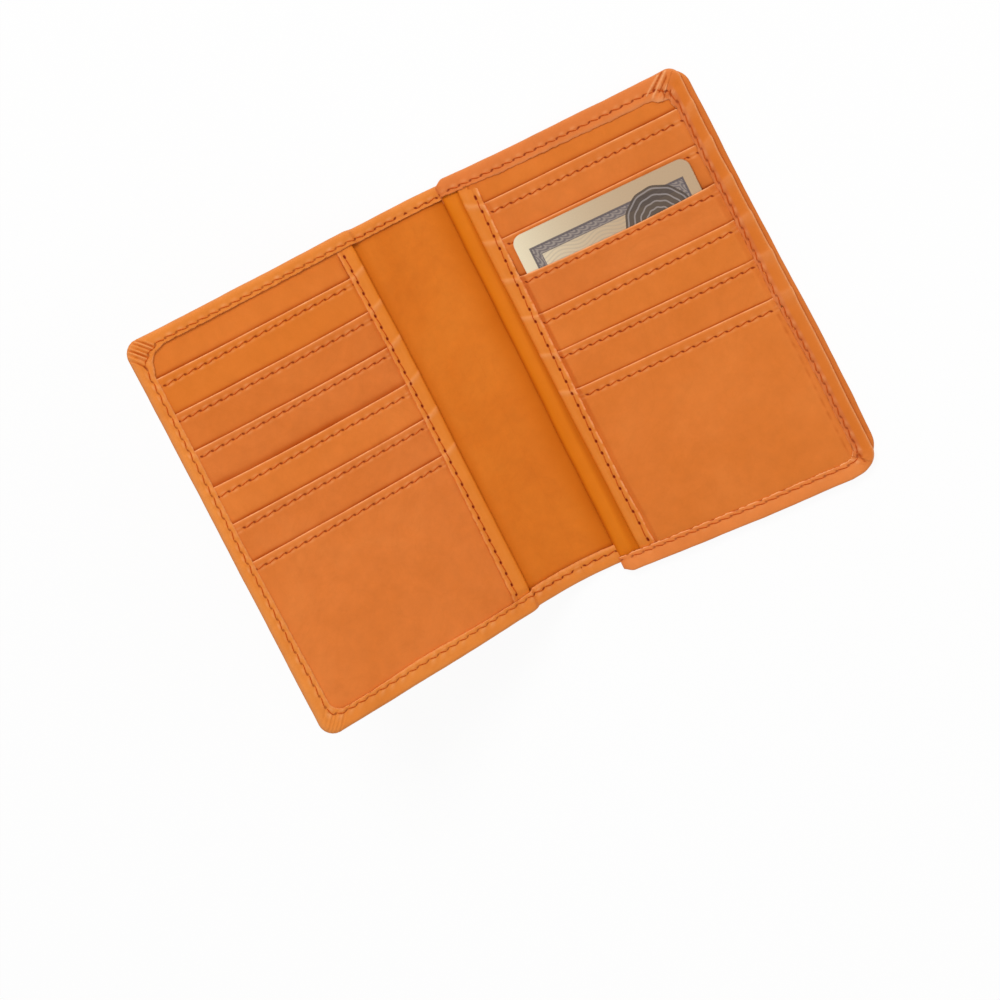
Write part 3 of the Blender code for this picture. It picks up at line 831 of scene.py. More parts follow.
def makeLining(side):
    half = "front" if side == "front" else "outside"
    seed, spread, power = lining[side]
    reach = np.linspace(-bendReach, lining["end"], lining["columns"])
    reach = np.insert(reach, 1, -bendReach + 0.05)
    end = wallet["coverTop"] - lining["inset"]
    sweep = Sweep(len(reach))
    for height in np.linspace(end, -end, lining["rows"]):
        edge = bindingLine("front", "edge", height) if side == "front" else leaf["edge"]
        inside = smooth(reach, -bendReach, 3) * (1 - smooth(reach, 8, 12))
        swell = 0.16 * drift(reach + height * 0.35, seed, 38) + 0.10 * drift(height, 4.0, 70)
        swell = swell * inside - 0.12 * hump(abs(height), wallet["coverTop"] - 4, 3)
        valley = np.clip((reach - edge + spread) / spread, 0, 1) ** power * (1 + 0.2 * drift(height, seed, 60))
        hemLine = smooth(abs(height), 52.2, 53.4) if height < 0 else smooth(height, 53.4, 54.6)
        level = lining["level"] + swell - 0.18 * valley
        # painted shade and deep orange in the dip and under the turned edges
        crease = creased(0.50 * valley + 0.40 * hemLine)
        face, under = (placed(half, reach, height, part) for part in (level, level - lining["ply"]))
        sweep.ring(face, under, crease=crease, rich=0.8 * valley)
    bent(sweep.piece(side + "Lining", "lining"), side, "lining_leather", side + "_lining", "spine_lining")


# The leaf of the back half, with mitred corners.

leaf = {
    "edge": 6.8,
    "corner": (3.5, 5.5),
    "innerCorner": (1.6, 2.4),
    "stitch": {
        "top": ((10, 80), (3.65, 3.65)),
        "fore": ((-35, -25, -15, -5, 5, 25, 45), (3.7, 3.9, 4.3, 4.5, 4.3, 3.9, 3.8)),
        "low": ((10, 80), (4.0, 4.0)),
    },
    "hem": {
        "top": ((12, 20, 25, 50, 65, 72), (4.7, 4.8, 5.15, 5.5, 5.85, 5.85)),
        "fore": ((-35, -25, -15, -5, 5, 25, 45), (4.75, 4.95, 5.35, 5.55, 5.35, 4.95, 4.85)),
        "low": ((10, 80), (5.1, 5.1)),
    },
    "cut": (1.5, 0.2),
    "cutWidth": 3.7,
    "pitch": 3.4,
    "rim": 0.85,
    "ply": 0.45,
    "under": 6.6,  # how far in its underside reaches
    "low": 1.55,
    "top": 3.3,
    "foreRise": 0.45,  # how much the fore edge stands up over the card
    "lowRise": 0.45,  # and the bottom edge
    "riseSpan": (16, 24),  # reach over which the bottom edge's rise comes in
    "mitre": 0.30,
    "endRound": 1.3,  # how far the ends in the gutter are rounded off
    # lines on the corners, from one point to another with a width; ridges get a painted highlight, notches
    # painted shade
    "ridges": (
        ((80.1, 58.9), (74.0, 54.4), 0.30), ((77.6, 58.7), (72.4, 55.3), 0.26),
        ((77.3, 53.9), (78.6, 55.2), 0.26),
    ),
    "notches": (
        ((79.9, 57.5), (76.0, 54.6), 0.22), ((79.0, 59.0), (74.4, 55.7), 0.22),
        ((76.9, 53.2), (77.0, 54.6), 0.26), ((78.2, 52.4), (78.9, 53.6), 0.2),
        ((79.2, -54.2), (79.9, -56.9), 0.18), ((79.2, -54.1), (79.4, -54.7), 0.38),
    ),
}


# How near points are to any of some lines, 0 to 1.
def nearLines(lines, reach, height):
    total = 0 * reach
    for start, end, width in lines:
        (fromReach, fromHeight), (runReach, runHeight) = start, np.subtract(end, start)
        share = (reach - fromReach) * runReach + (height - fromHeight) * runHeight
        share = np.clip(share / (runReach**2 + runHeight**2), 0, 1)
        away = np.hypot(reach - fromReach - share * runReach, height - fromHeight - share * runHeight)
        total = np.maximum(total, hump(away, 0, width))
    return total


# Top of the leaf's turned edge at a height of its fore side.
def leafTop(height):
    return leaf["top"] + leaf["foreRise"] * smooth(height, -62, -30) * (1 - smooth(height, 30, 58))


def makeLeaf():
    rim = Rim(leaf["edge"], wallet["leafReach"], wallet["top"], leaf)
    count, stitchIn, hemIn = rim.count, rim.stitchIn, rim.hemIn
    pitch, low = leaf["pitch"], leaf["low"]
    edgeReach, edgeHeight = rim.outline
    end = np.clip((edgeReach - leaf["edge"]) / 2.2, 0, 1)
    rounding = 0.35 + 0.65 * np.sqrt(np.clip(1 - (1 - end) ** 2, 0, 1))
    endDrop = leaf["endRound"] * (1 - smooth(edgeReach, leaf["edge"], leaf["edge"] + 3.4)) ** 1.5
    humps = slotHumps("back", wallet["slotEnd"], edgeHeight, 1.2) * rim.onFore
    full = leaf["top"] + (leafTop(edgeHeight) - leaf["top"]) * rim.fore + 0.18 * humps
    full = full + leaf["lowRise"] * rim.lowCorner * smooth(edgeReach, *leaf["riseSpan"])
    full = full + 0.07 * drift(rim.along, 6.1, 19)
    wobble = 0.06 * drift(rim.along, 4.4, 27) + 0.22 * (humps - 0.35) * rim.onFore
    ragged = raggedLine(rim.along, pitch, 9.2) * (1 + 0.6 * rim.lowCorner)
    away = np.hypot(edgeReach - rim.reach, np.abs(edgeHeight) - rim.top)  # from the nearer corner
    # at each corner one flap lies over the other
    isUpper = edgeHeight > 0
    turned = np.where(isUpper, rim.topCorner, rim.lowCorner)
    isLap = isUpper | (rim.lowCorner < 1)
    lap = np.where(~isUpper & (rim.lowCorner == 0), 1.0, (1 - smooth(turned, 0.44, 0.52)) * isLap)
    lap = leaf["mitre"] * lap * smooth(-away, -9.0, -2.5)
    crumple = smooth(-away, -8.0, -3.0)
    tone = 0.19 * rim.lowCorner - 0.16 * rim.fore - 0.05 * rim.topCorner
    look = {"tone": tone, "rich": 0.42 * rim.fore}
    sweep = Sweep(count)

    def add(inset, level, shift=1.0, upper=0.0, **marks):
        across = smooth(inset, 1.2, 3.2) * (1 + 0.2 * smooth(inset - stitchIn, 0, 1.1))
        reach, height = rim.at(inset - wobble * shift, across)
        ridge, notch = (nearLines(leaf[key], reach, height) * upper for key in ("ridges", "notches"))
        marks["worn"] = np.maximum(marks.get("worn", 0.0), 0.75 * ridge)
        marks["crease"] = np.maximum(marks.get("crease", 0.0), 0.9 * notch)
        level = low + (level - low) * rounding + 0.30 * ridge - 0.25 * notch
        height = height - np.sign(height) * endDrop * (1 - smooth(inset, 0, 5))
        sweep.ring(placed("back", reach, height, level), **marks)

    def crumpled(across):
        return 0.15 * crumple * drift(rim.along + across * 1.5, 2.0, 3.2)

    add(leaf["under"], low, 0)
    add(1.2, low, 0)
    # round the edge, with a painted highlight along its top, its fore edge and its humps
    for turn in np.radians(np.linspace(-78, 84, 11)):
        up = math.sin(turn)
        worn = 0.20 * hump(up, 0.5, 0.3) + 0.50 * rim.fore * hump(up, 0.28, 0.26) + 0.12 * humps
        level = low + (full - low) / 2 * (1 + up) + lap * smooth(up, -0.2, 1)
        add(leaf["rim"] * (1 - math.cos(turn)), level, 1, smooth(up, 0, 0.9), worn=worn, **look)
    # the turned edge over the pockets, with a painted highlight on its humps
    for share in (0.1, 0.45, 0.8):
        inset = 1.1 + (stitchIn - 2.2) * share
        add(inset, full + 0.07 + lap + crumpled(inset - stitchIn), 0.6, 1.0, worn=0.15 * humps, **look)
    # the seam: painted shade in its holes and along it, painted highlight on puffs and crumpled spots
    holeShare = 0.85 - 0.25 * rim.fore - 0.3 * rim.lowCorner
    plain = 1 - 0.5 * rim.lowCorner  # the seam is flatter along the bottom
    spots = 0.3 * crumple * smooth(drift(rim.along, 2.0, 3.0), 0.1, 0.8) + 0.1 * humps
    for across in stitch["band"]:
        hole = holeMark(rim.along, across, pitch, -1)
        puff = seamPuff(rim.along, across, pitch, 5.0, 0.3 * rim.lowCorner + 0.4 * rim.fore) * plain
        level = full + lap + seamDip(rim.along, across, pitch, plain) - hole * stitch["holeDepth"]
        marks = {"hole": holeShare * hole, "worn": 3.0 * puff + spots, "crease": 0.12 * hump(across, 0, 0.4)}
        add(stitchIn + across, level + puff + crumpled(across), 0.3, 1.0, tone=tone, **marks)
    # the cut edge, pale with wear and painted highlight, and painted shade under it
    lip = 0.05 * drift(rim.along, 1.3, 2.4) + crumpled(1.2)
    worn = 0.25 + 0.3 * crumple + 0.65 * rim.lowCorner
    add(hemIn - 0.12 + ragged, full + lap - 0.03 + lip, 0, 1.0, worn=worn, tone=tone)
    worn = 0.42 + 0.3 * crumple + 0.5 * rim.lowCorner
    add(hemIn + ragged, full + lap - 0.22 + lip, 0, 1.0, worn=worn)
    add(hemIn + 0.02 + ragged, full - 0.75, 0, crease=0.6)
    add(hemIn - 0.6, full - 0.85, 0, crease=0.6)
    add(1.4, full - 0.9, 0)
    # the inner face of the ply
    add(1.0, (full + low) / 2 + 0.1, 0)
    add(1.4, low + leaf["ply"], 0)
    add(leaf["under"], low + leaf["ply"], 0)
    shown(sweep.piece("leafEdge", "leaf"), "back_half", "cover_leather", "back_leaf")

    level, keep = full + lap + crumpled(0.0) - 0.02, slice(8, count - 8)
    line, beside = rim.seam, rim.besideSeam
    thread = makeThread("leafSeamThread", "back", rim.along, line, beside, level, pitch, -1, keep=keep)
    shown(thread, "back_half", "thread", "back_seam_thread")


# The leaf's own free edge, which shows as a soft band in the gutter.

leafBand = {
    "rows": 150,
    "inset": 2.0,  # how far it ends inside the leaf's top and bottom
    "flat": 2.05,  # its level where the turned edges lie over it
    # distance from the free edge and level, round the edge
    "profile": (
        (7.5, 1.62), (0.6, 1.42), (0.15, 1.46), (0.0, 1.60), (0.25, 1.82), (0.7, 2.06), (1.25, 2.26),
        (1.9, 2.44), (2.6, 2.56), (3.3, 2.60), (4.0, 2.54), (4.6, 2.40), (5.2, 2.22), (6.0, 2.10), (7.5, 2.05),
    ),
}


def makeLeafBand():
    end, flat = wallet["top"] - leafBand["inset"], leafBand["flat"]
    heights = np.linspace(end, -end, leafBand["rows"])
    sweep = Sweep(len(heights))
    wander = 0.14 * drift(heights, 8.0, 60)
    swell = 0.12 * drift(heights, 3.3, 45)
    ends = 1 - smooth(np.abs(heights), 50, 55)
    for out, level in leafBand["profile"]:
        # painted shade and deep orange along both sides of the band, less in its middle
        crease = 0.55 * (1 - smooth(out, 0.0, 1.5)) + 0.32 * smooth(out, 4.0, 5.2) if level > 1.5 else 0.55
        level = flat + (level + swell - flat) * ends if level > 2.1 else level
        rich = 0.95 - 0.42 * hump(out, 3.0, 1.8)
        sweep.ring(placed("back", leaf["edge"] + out + wander, heights, level), crease=crease, rich=rich)
    shown(sweep.piece("leafBand", "lining", 0.05), "back_half", "cover_leather")


# The pocket panels and the bindings on their free edges.

panel = {
    "front": {
        "low": 1.5,
        "base": 1.95,
        "crown": 2.95,
        "end": 81.1,
        "top": 58.65,
        "hem": 3.95,
        "lowHem": 5.2,
        "hemTop": 3.05,
        # along the binding: its edge, its stitches and its cut edge
        "edge": ((-52, -20, 0, 25, 40, 55), (13.2, 13.4, 13.4, 13.6, 14.0, 14.4)),
        "stitch": ((-50, -35, -25, 0, 10, 25, 40, 52), (17.4, 17.35, 17.2, 17.25, 17.35, 17.55, 17.8, 18.0)),
        "cutEdge": ((-45, -30, -15, 0, 20, 35, 50), (18.9, 18.7, 18.5, 18.65, 18.6, 18.9, 19.4)),
        "pitch": 3.47,
        "first": 52.5,
        "paleSpecks": 0.4,
        "edgeDeepShade": 0.2,  # how much more deep orange is painted as shade on the binding's edge
        "seeds": (3.7, 5.0),  # of the binding's wander and the panel's sag
    },
    "back": {
        "low": 2.05,
        "base": 2.55,
        "crown": 4.2,
        "end": 78.4,
        "top": 59.25,
        "hem": 5.2,
        "lowHem": 5.1,
        "hemTop": 3.3,
        "edge": ((-50, -35, 0, 50), (13.8, 13.6, 12.95, 12.3)),
        "stitch": ((-47, -38, -10, 15, 50), (17.0, 16.55, 16.45, 16.15, 16.25)),
        "cutEdge": ((-47, -38, -10, 50), (18.4, 18.0, 17.9, 17.75)),
        "pitch": 3.71,
        "first": 40.1,
        "paleSpecks": 1.2,
        "edgeDeepShade": 0.0,
        "seeds": (4.9, 6.3),
    },
}


# Reach of one of the binding's lines at a height.
def bindingLine(side, kind, height):
    return np.interp(height, *panel[side][kind])


# Top of the turned edge that a pocket's end is sewn under.
def hemLevel(side, height):
    return leafTop(height) if side == "back" else panel["front"]["hemTop"] + 0 * height


# Top of the binding. It lies flat under the turned edges, and over the card it rises.
def crownLevel(side, height):
    facts = panel[side]
    inside = facts["top"] - np.where(height > 0, facts["hem"], facts["lowHem"])
    flat = smooth(np.abs(height), inside - 3.2, inside + 0.4)
    crown = facts["crown"]
    if side == "back":
        crown = 3.35 + (crown - 3.35) * smooth(height, -58, -20) * (1 - smooth(height, 30, 52))
    return crown * (1 - flat) + (facts["hemTop"] - 0.72) * flat


# The shade in which a pocket's folded edge meets the leather behind it.
def mouthShade(reach, gap, width, seed):
    depth = 1 + 0.3 * drift(reach, seed, 60)
    shade = 0.58 * smooth(-gap, -0.6 * width, 0.0) + 0.18 * smooth(-gap, -1.1 * width, -0.1)
    return creased(shade * depth)


def makePanelBase(side):
    facts = panel[side]
    first = float(slotLine(side, 0, 50))
    reach = np.linspace(facts["edge"][1][0] + 1.4, facts["end"] + 1.4, 70)
    upper = np.linspace(facts["top"] - 1.6, first + 3.5, 16)
    sweep = Sweep(len(reach))
    for height in (*upper, *np.linspace(first + 3.0, first - 1.4, 14), first - 7):
        under = smooth(height, facts["top"] - facts["hem"] - 1.2, facts["top"] - facts["hem"])
        sag = 0.14 * drift(reach + height, facts["seeds"][1], 40)
        level = facts["base"] + sag + 0.25 * (1 - 0.4 * under)
        ends = hump(reach, facts["end"], 0.9) + hump(reach, bindingLine(side, "cutEdge", height), 0.7)
        shade = mouthShade(reach, height - slotLine(side, 0, reach), slots[side]["shade"][0], 2.7)
        # painted shade under the turned edge, at the ends and above the first pocket's edge
        crease = creased(0.07 * under + 0.14 * ends + shade)
        face, under = (placed(side, reach, height, part) for part in (level, level - 0.35))
        sweep.ring(face, under, rich=0.25, crease=crease)
    piece = sweep.piece(side + "Panel", "pocket", -0.05)
    shown(piece, side + "_half", "pocket_leather", side + "_panel_base")


binding = {
    "rows": 500,
    "slant": 0.35,  # of the bumps over the pockets' edges
    # distance from its edge and share of the height, round the edge
    "profile": (
        (-0.02, 0.22), (-0.18, 0.48), (-0.08, 0.74), (0.20, 0.91), (0.62, 1.0), (1.10, 1.04), (1.65, 1.03),
    ),
}


def makeBinding(side):
    facts = panel[side]
    start, end = facts["top"] - facts["hem"] + 1.0, facts["lowHem"] - facts["top"] - 1.0
    heights = np.linspace(start, end, binding["rows"])
    pitch, low, along = facts["pitch"], facts["low"], facts["first"] - heights
    edgeAt, stitchAt, cutAt = (bindingLine(side, kind, heights) for kind in ("edge", "stitch", "cutEdge"))
    top = crownLevel(side, heights) + 0.05 * drift(heights, 2.5, 22)
    wander = 0.06 * drift(heights, facts["seeds"][0], 50)
    ragged = 0.7 * raggedLine(along, pitch, 5.5)
    sweep = Sweep(len(heights))

    # Bumps over the pockets' edges, which slant across the binding.
    def humpsAt(reach):
        return slotHumps(side, 20, heights + binding["slant"] * (reach - stitchAt), 0.8, 1.3)

    def add(reach, level, bumps=0.0, shift=0.3, **marks):
        sweep.ring(placed(side, reach + wander * shift, heights, level + bumps * humpsAt(reach)), **marks)

    add(edgeAt + 1.6, low)
    add(edgeAt + 0.45, low)
    for out, share in binding["profile"]:
        # a painted highlight along the crown and on the bumps, painted shade low on the edge, deep orange
        # painted as shade toward the gutter
        worn = 0.12 * hump(share, 0.97, 0.08) + 0.24 * humpsAt(edgeAt + out) * smooth(share, 0.7, 1.0)
        rich = 0.9 - 0.55 * smooth(out, -0.1, 1.6) + facts["edgeDeepShade"]
        marks = {"worn": worn, "crease": 0.5 * (share < 0.3), "rich": rich}
        add(edgeAt + out, low + (top - low) * share, 0.16 * smooth(share, 0.5, 1.0), 1, **marks)
    # the seam: painted shade in its holes and along it, a painted highlight on the bumps, deep orange on its
    # outer side
    for across in stitch["band"]:
        hole = holeMark(along * 1.25, across * 0.8, pitch * 1.25, 0.0)
        level = top + 0.02 + seamDip(along, across, pitch) - hole * stitch["holeDepth"]
        marks = {"worn": 0.28 * humpsAt(stitchAt + across), "rich": 0.25 * (1 - smooth(across, -0.9, 0.9))}
        add(stitchAt + across, level, 0.20, hole=hole, crease=0.20 * hump(across, 0, 0.3), **marks)
    # pale specks along the cut edge, wear and painted highlight, and painted shade under it
    paleSpecks = facts["paleSpecks"] * smooth(drift(heights, 1.9, 5), -0.9, 0.5)
    lip = 0.03 * drift(heights, 2.9, 2.2)
    add(cutAt - 0.08 + ragged, top - 0.10 + lip, 0.18, worn=0.55 * paleSpecks)
    add(cutAt + ragged, top - 0.24 + lip, 0.18, worn=0.75 * paleSpecks)
    add(cutAt + 0.03 + ragged, top - 0.65, crease=0.4)
    add(stitchAt + 0.2, top - 0.75)
    add(edgeAt + 1.6, np.maximum(top - 0.8, low + 0.3))
    piece = sweep.piece(side + "Binding", "cover", -0.02)
    shown(piece, side + "_half", "pocket_leather", side + "_panel_base")

    level, keep = top - 0.04 + 0.16 * humpsAt(stitchAt), slice(6, len(heights) - 6)
    line, beside = ((stitchAt + wander * 0.3 + out, heights) for out in (0.0, 0.5))
    thread = makeThread(side + "BindingThread", side, along, line, beside, level, pitch, 0.5, keep=keep)
    shown(thread, side + "_half", "thread", side + "_binding_thread")


for side in ("front", "back"):
    makeLining(side)
makeLeaf()
makeLeafBand()
print("lining and leaf: made")

for side in ("front", "back"):
    makePanelBase(side)
    makeBinding(side)
print("panels: made")

# The pocket fronts.

pocket = {
    "columns": 250,
    "length": 13.0,
    "ply": 0.45,
    "cardLean": math.radians(1.0470735),
    "cardFloor": -54.5,
    "cardLow": 2.7,
    "cardThick": 0.76,
    "tucked": 0.22,  # how far its ends lie under the top of what they are sewn under
    # over how much its left end, right end and foot slope down, its seed and its holes' slant
    "front": (1.2, 1.6, 4.2, 0.4, -1),
    "back": (1.9, 2.3, 1.7, 3.9, 1),
    # the back of the lowest ply, thin at the foot where the card slides in under it
    "thinFoot": ((0.0, 0.10), (1.1, 0.10), (3.2, 0.22), (7.0, 0.45)),
}


# Level of the card's underside at a height.
def cardLevel(height):
    return pocket["cardLow"] + math.tan(pocket["cardLean"]) * (height - pocket["cardFloor"])


# Level of a pocket front's face at a height, before its ends are drawn down.
def pocketLevel(side, number, edge, height):
    share = np.clip((height - (edge - pocket["length"])) / pocket["length"], 0, 1)
    if side == "front":
        return 2.42 + 0.62 * share
    if number < 2:
        return 3.10 + 0.70 * share
    cardTop = cardLevel(height) + pocket["cardThick"]
    return cardTop + 0.45 + 0.42 * share * (number > 2) - 0.25 * (1 - smooth(height, -55, -46))


# A level that comes down to a limit as the share goes to 0.
def drawnDown(level, limit, share):
    low = np.minimum(level, limit)
    return low + (level - low) * share


def makePocket(side, number):
    facts, rows = panel[side], slots[side]
    leftWay, rightWay, footWay, seed, slant = pocket[side]
    last = number == len(rows["edges"]) - 1
    reach = np.linspace(min(facts["cutEdge"][1]) - 0.9, facts["end"] + 1.0, pocket["columns"])
    pitch, along = rows["pitch"][number], reach - rows["first"][number]
    seed = number * 1.7 + seed
    edge = slotLine(side, number, reach)
    inset = edge - slotLine(side, number, reach, "rows")
    foot = facts["lowHem"] - facts["top"] - 0.9 if last else float(edge.min()) - pocket["length"]
    step = edge - foot if last else edge - slotLine(side, number + 1, reach)
    sweep = Sweep(len(reach))
    rowStart, rowEnd = rows["span"]
    inRow = smooth(reach, rowStart - 0.6, rowStart - 0.2)

    # Draws the face down to what its ends are sewn under.
    def draped(height, level):
        height = np.broadcast_to(height, reach.shape)
        top = np.minimum(height, edge)
        cutAt = bindingLine(side, "cutEdge", height)
        inside = smooth(reach, cutAt - 0.1, cutAt + leftWay)
        level = drawnDown(level, crownLevel(side, top) - 0.42, inside)
        past = smooth(reach, facts["end"] + 0.1, facts["end"] + 0.8)
        inside = 1 - smooth(reach, facts["end"] - rightWay, facts["end"] - 0.2)
        level = drawnDown(level, hemLevel(side, top) - pocket["tucked"] - 0.35 * past, inside)
        if last:
            past = smooth(foot + 0.9 - height, 0.1, 0.7)
            top = facts["hemTop"]
            if side == "back":
                top = top + leaf["lowRise"] * smooth(reach, *leaf["riseSpan"])
            inside = smooth(height, foot + 0.9, foot + footWay)
            level = drawnDown(level, top - pocket["tucked"] - 0.35 * past, inside)
        return level

    def face(below, offset=0.0, **marks):
        height = edge - below
        swell = 0.06 * drift(reach + below * 2, seed + 1, 30)
        if last:
            swell = swell + 0.12 * drift(reach * 0.8 + below, seed, 44) * smooth(below, 3, 12)
        level = draped(height, pocketLevel(side, number, edge, height) + offset + swell)
        sweep.ring(placed(side, reach, height, level), rich=rows["rich"][number], **marks)

    cutAt = bindingLine(side, "cutEdge", float(edge.mean()))
    # painted shade where its ends go under the binding and the turned edge
    ends = hump(reach, facts["end"] - 0.1, 0.6) + hump(reach, cutAt + 0.2, 0.4)
    foldHighlightVariation = 1 + 0.35 * drift(reach, seed + 3, 17)
    # the folded edge, with a painted highlight along it and painted shade under the fold
    face(3.0, -pocket["ply"] - 0.05)
    face(0.30, -pocket["ply"] - 0.10)
    face(0.04, -pocket["ply"] * 0.80, crease=0.15)
    face(-0.04, -pocket["ply"] * 0.45, worn=0.45 * foldHighlightVariation)
    face(0.04, -0.12, worn=0.78 * foldHighlightVariation)
    face(0.16, -0.01, worn=0.48 * foldHighlightVariation)
    face(0.34, 0.04, worn=0.10)
    face(np.minimum(0.85, inset - 0.98), 0.05)
    # pale beads, a painted highlight on the leather that puffs up beside the holes
    beads = 0.22 * between(along, pitch) * inRow * (1 + 0.5 * drift(reach, seed, 11))
    for across in stitch["band"]:
        hole = holeMark(along, across, pitch, slant) * inRow
        level = 0.04 + seamDip(along, across, pitch) * inRow - hole * stitch["holeDepth"]
        worn = beads * (hump(across, -0.55, 0.3) + hump(across, 0.55, 0.3))
        crease = 0.08 * hump(across, 0, 0.35) + 0.12 * ends
        face(inset + across, level, hole=0.85 * hole, worn=worn, crease=crease)
    face(inset + 1.2, 0.03, crease=0.12 * ends)
    # down to the next pocket's edge, closer together in its shade, or to the foot
    start, fade = inset + 1.6, 1.0 if last else rows["shade"][number + 1]
    if last:
        stops = [start + share * (step - start) for share in np.linspace(0, 1, 34)]
    else:
        stops = [start + share * (step - 1.15 * fade - 0.4 - start) for share in np.linspace(0, 1, 4)]
        stops += [step - 1.15 * fade * (1 - share) for share in np.linspace(0, 1, 9)] + [step + 0.6]
    for below in stops:
        shade = 0.0 if last else mouthShade(reach, step - below, fade, seed)
        # a line of puckers near the back's lowest pocket's end, with painted shade in them
        puckers = 0.0 * reach
        if last and side == "back":
            waves = 0.5 + 0.5 * np.sin(below * 2 * math.pi / 1.9 + drift(below, 2.0, 7))
            puckers = hump(reach, facts["end"] - 1.5, 0.3) * waves
        face(below, -0.12 * puckers, crease=creased(0.12 * ends + shade + 0.4 * puckers))
    if not last:
        face(edge - foot)
    for rise, thick in pocket["thinFoot"] if last else ((0.0, 0.45),):
        face(edge - foot - rise, -thick)
    face(3.4, -pocket["ply"])
    tone = 0.015 * math.sin(seed * 2.3) + rows["tone"][number]
    piece = sweep.piece(f"{side}Pocket{number + 1}", "pocket", tone)
    shown(piece, side + "_half", "pocket_leather", f"{side}_pocket_{number + 1}")

    height = edge - inset
    level = draped(height, pocketLevel(side, number, edge, height)) - 0.02
    name, keep = f"{side}PocketThread{number + 1}", (reach > rowStart) & (reach < rowEnd)
    line, beside = (reach, height), (reach, height - 0.5)
    thread = makeThread(name, side, along, line, beside, level, pitch, slant, keep=keep)
    shown(thread, side + "_half", "thread", f"{side}_pocket_thread_{number + 1}")


for side in ("front", "back"):
    for number in range(len(slots[side]["edges"])):
        makePocket(side, number)
print("pockets: made")

# The card.

card = {
    "width": 53.98,
    "length": 85.6,
    "corner": 2.9,
    "bevel": 0.10,
    "reach": 47.3,
    "foot": -47.95,
    "stock": (0.490, 0.340, 0.203),
    "lit": (0.87, 0.80, 0.58),  # toward its left edge, where it catches the light
    "ink": (0.075, 0.058, 0.068),
    "wash": (0.25, 0.215, 0.205),
    "dark": (0.060, 0.038, 0.026),
    "band": (3.6, 6.0),  # the printed band, from the long edges
    "bandAside": 0.3,  # how far right it is printed
    "bandDown": 1.3,  # how much further in at the ends
    "bandLines": ((0.28, 0.85), (0.12, 0.7)),  # half width and depth of its outer and inner line
    "cell": 2.6,
    "arcPitch": 7.5,  # radians per millimetre, as are the others
    "ribPitch": 6.0,
    "ringPitch": 3.6,
    "rosette": (13.4, 72.4, 10.0),  # place and radius of a plain printed rosette
    "petals": (12.0, 0.10),  # how many, and how far they stand out
    "roughness": 0.32,
}


def cardMatrix():
    seat = Vector((wallet["backFold"] + card["reach"], card["foot"], cardLevel(card["foot"]))) * mm
    return Matrix.Translation(seat) @ Matrix.Rotation(pocket["cardLean"], 4, "X")


# Cream stock with a printed frame of plain wavy lines, as on any ornamental card.
def makeCardColour(tree):
    place = field(tree, "ShaderNodeUVMap", "UV", uv_map="flat")
    x, y = (field(tree, "ShaderNodeSeparateXYZ", axis, {"Vector": place}) for axis in "XY")
    fromSide = abs(x - card["bandAside"]) * -1 + card["width"] / 2
    fromEnd = abs(y - card["length"] / 2) * -1 + (card["length"] / 2 - card["bandDown"])
    edge = fromSide.maths("MINIMUM", fromEnd)
    outer, inner = card["band"]
    inBand = (edge > outer) * (edge < inner)
    # rows of arcs along the band
    cell, drop = (x + y).maths("PINGPONG", card["cell"] / 2), edge - outer
    arc = (cell * cell + drop * drop).maths("SQRT")
    arcs = (arc * card["arcPitch"]).maths("SINE") * 0.5 + 0.5
    waves = ((x * 0.5).maths("SINE") * 0.8 + y) * card["ribPitch"]
    ribs = (edge > inner) * (waves.maths("SINE") < -0.35)
    lines = []
    for line, (width, share) in zip(card["band"], card["bandLines"]):
        lines.append(((abs(edge - line) < width) * share, "ink"))
    # the stock is painted paler toward its left edge, where it catches the light
    colour = mixColour((x * (-0.85 / card["width"]) + 0.5) ** 3.0, card["stock"], card["lit"])
    for share, name in ((inBand * 0.85, "wash"), (inBand * arcs * 0.75, "ink"), *lines, (ribs * 0.22, "wash")):
        colour = mixColour(share, colour, card[name])
    # a plain rosette of rings
    middleX, middleY, radius = card["rosette"]
    petals, stand = card["petals"]
    awayX, awayY = x - middleX, y - middleY
    petal = (awayY.maths("ARCTAN2", awayX) * petals).maths("SINE")
    away = petal * stand + (awayX * awayX + awayY * awayY).maths("SQRT")
    pale = (away * card["ringPitch"]).maths("SINE") > 0.72
    colour = mixColour((away < radius) * 0.93, colour, mixColour(pale, card["dark"], card["wash"]))
    speck = noise(place, 3.0, 5.0)
    return shaded(colour, (speck - 0.5) * 0.16 + 1.0), card["roughness"], speck


def makeCard():
    corner, steps = card["corner"], 12
    sides, ends = card["width"] / 2 - corner, (corner, card["length"] - corner)
    centres = ((sides, ends[0]), (sides, ends[1]), (-sides, ends[1]), (-sides, ends[0]))
    outline = []
    for turn, centre in enumerate(centres):
        for step in range(steps + 1):
            angle = math.pi / 2 * (turn - 1 + step / steps)
            outline.append((*centre, math.cos(angle), math.sin(angle)))
    bevel, thick = card["bevel"], pocket["cardThick"]
    rings = ((bevel, 0.0), (0.0, bevel), (0.0, thick - bevel), (bevel, thick))
    points, flat = [], []
    for inset, level in rings:
        for centreX, centreY, c, s in outline:
            x, y = centreX + (corner - inset) * c, centreY + (corner - inset) * s
            points.append((x * mm, y * mm, level * mm))
            flat.append((x, y))
    mesh = bpy.data.meshes.new("card")
    mesh.from_pydata(points, [], tubeFaces(len(rings), len(outline)))
    layer = mesh.uv_layers.new(name="flat")
    for loop in mesh.loops:
        layer.data[loop.index].uv = flat[loop.vertex_index]
    mesh.transform(cardMatrix())
    mesh.shade_smooth()
    mesh.set_sharp_from_angle(angle=math.radians(25))
    mesh.materials.append(makeMaterial("cardStock", makeCardColour, 0.05, 0.2 * mm))
    shown(addObject("slottedCard", mesh), "card", "card", "card")


makeCard()
print("card: made")

# Floor, light and camera.

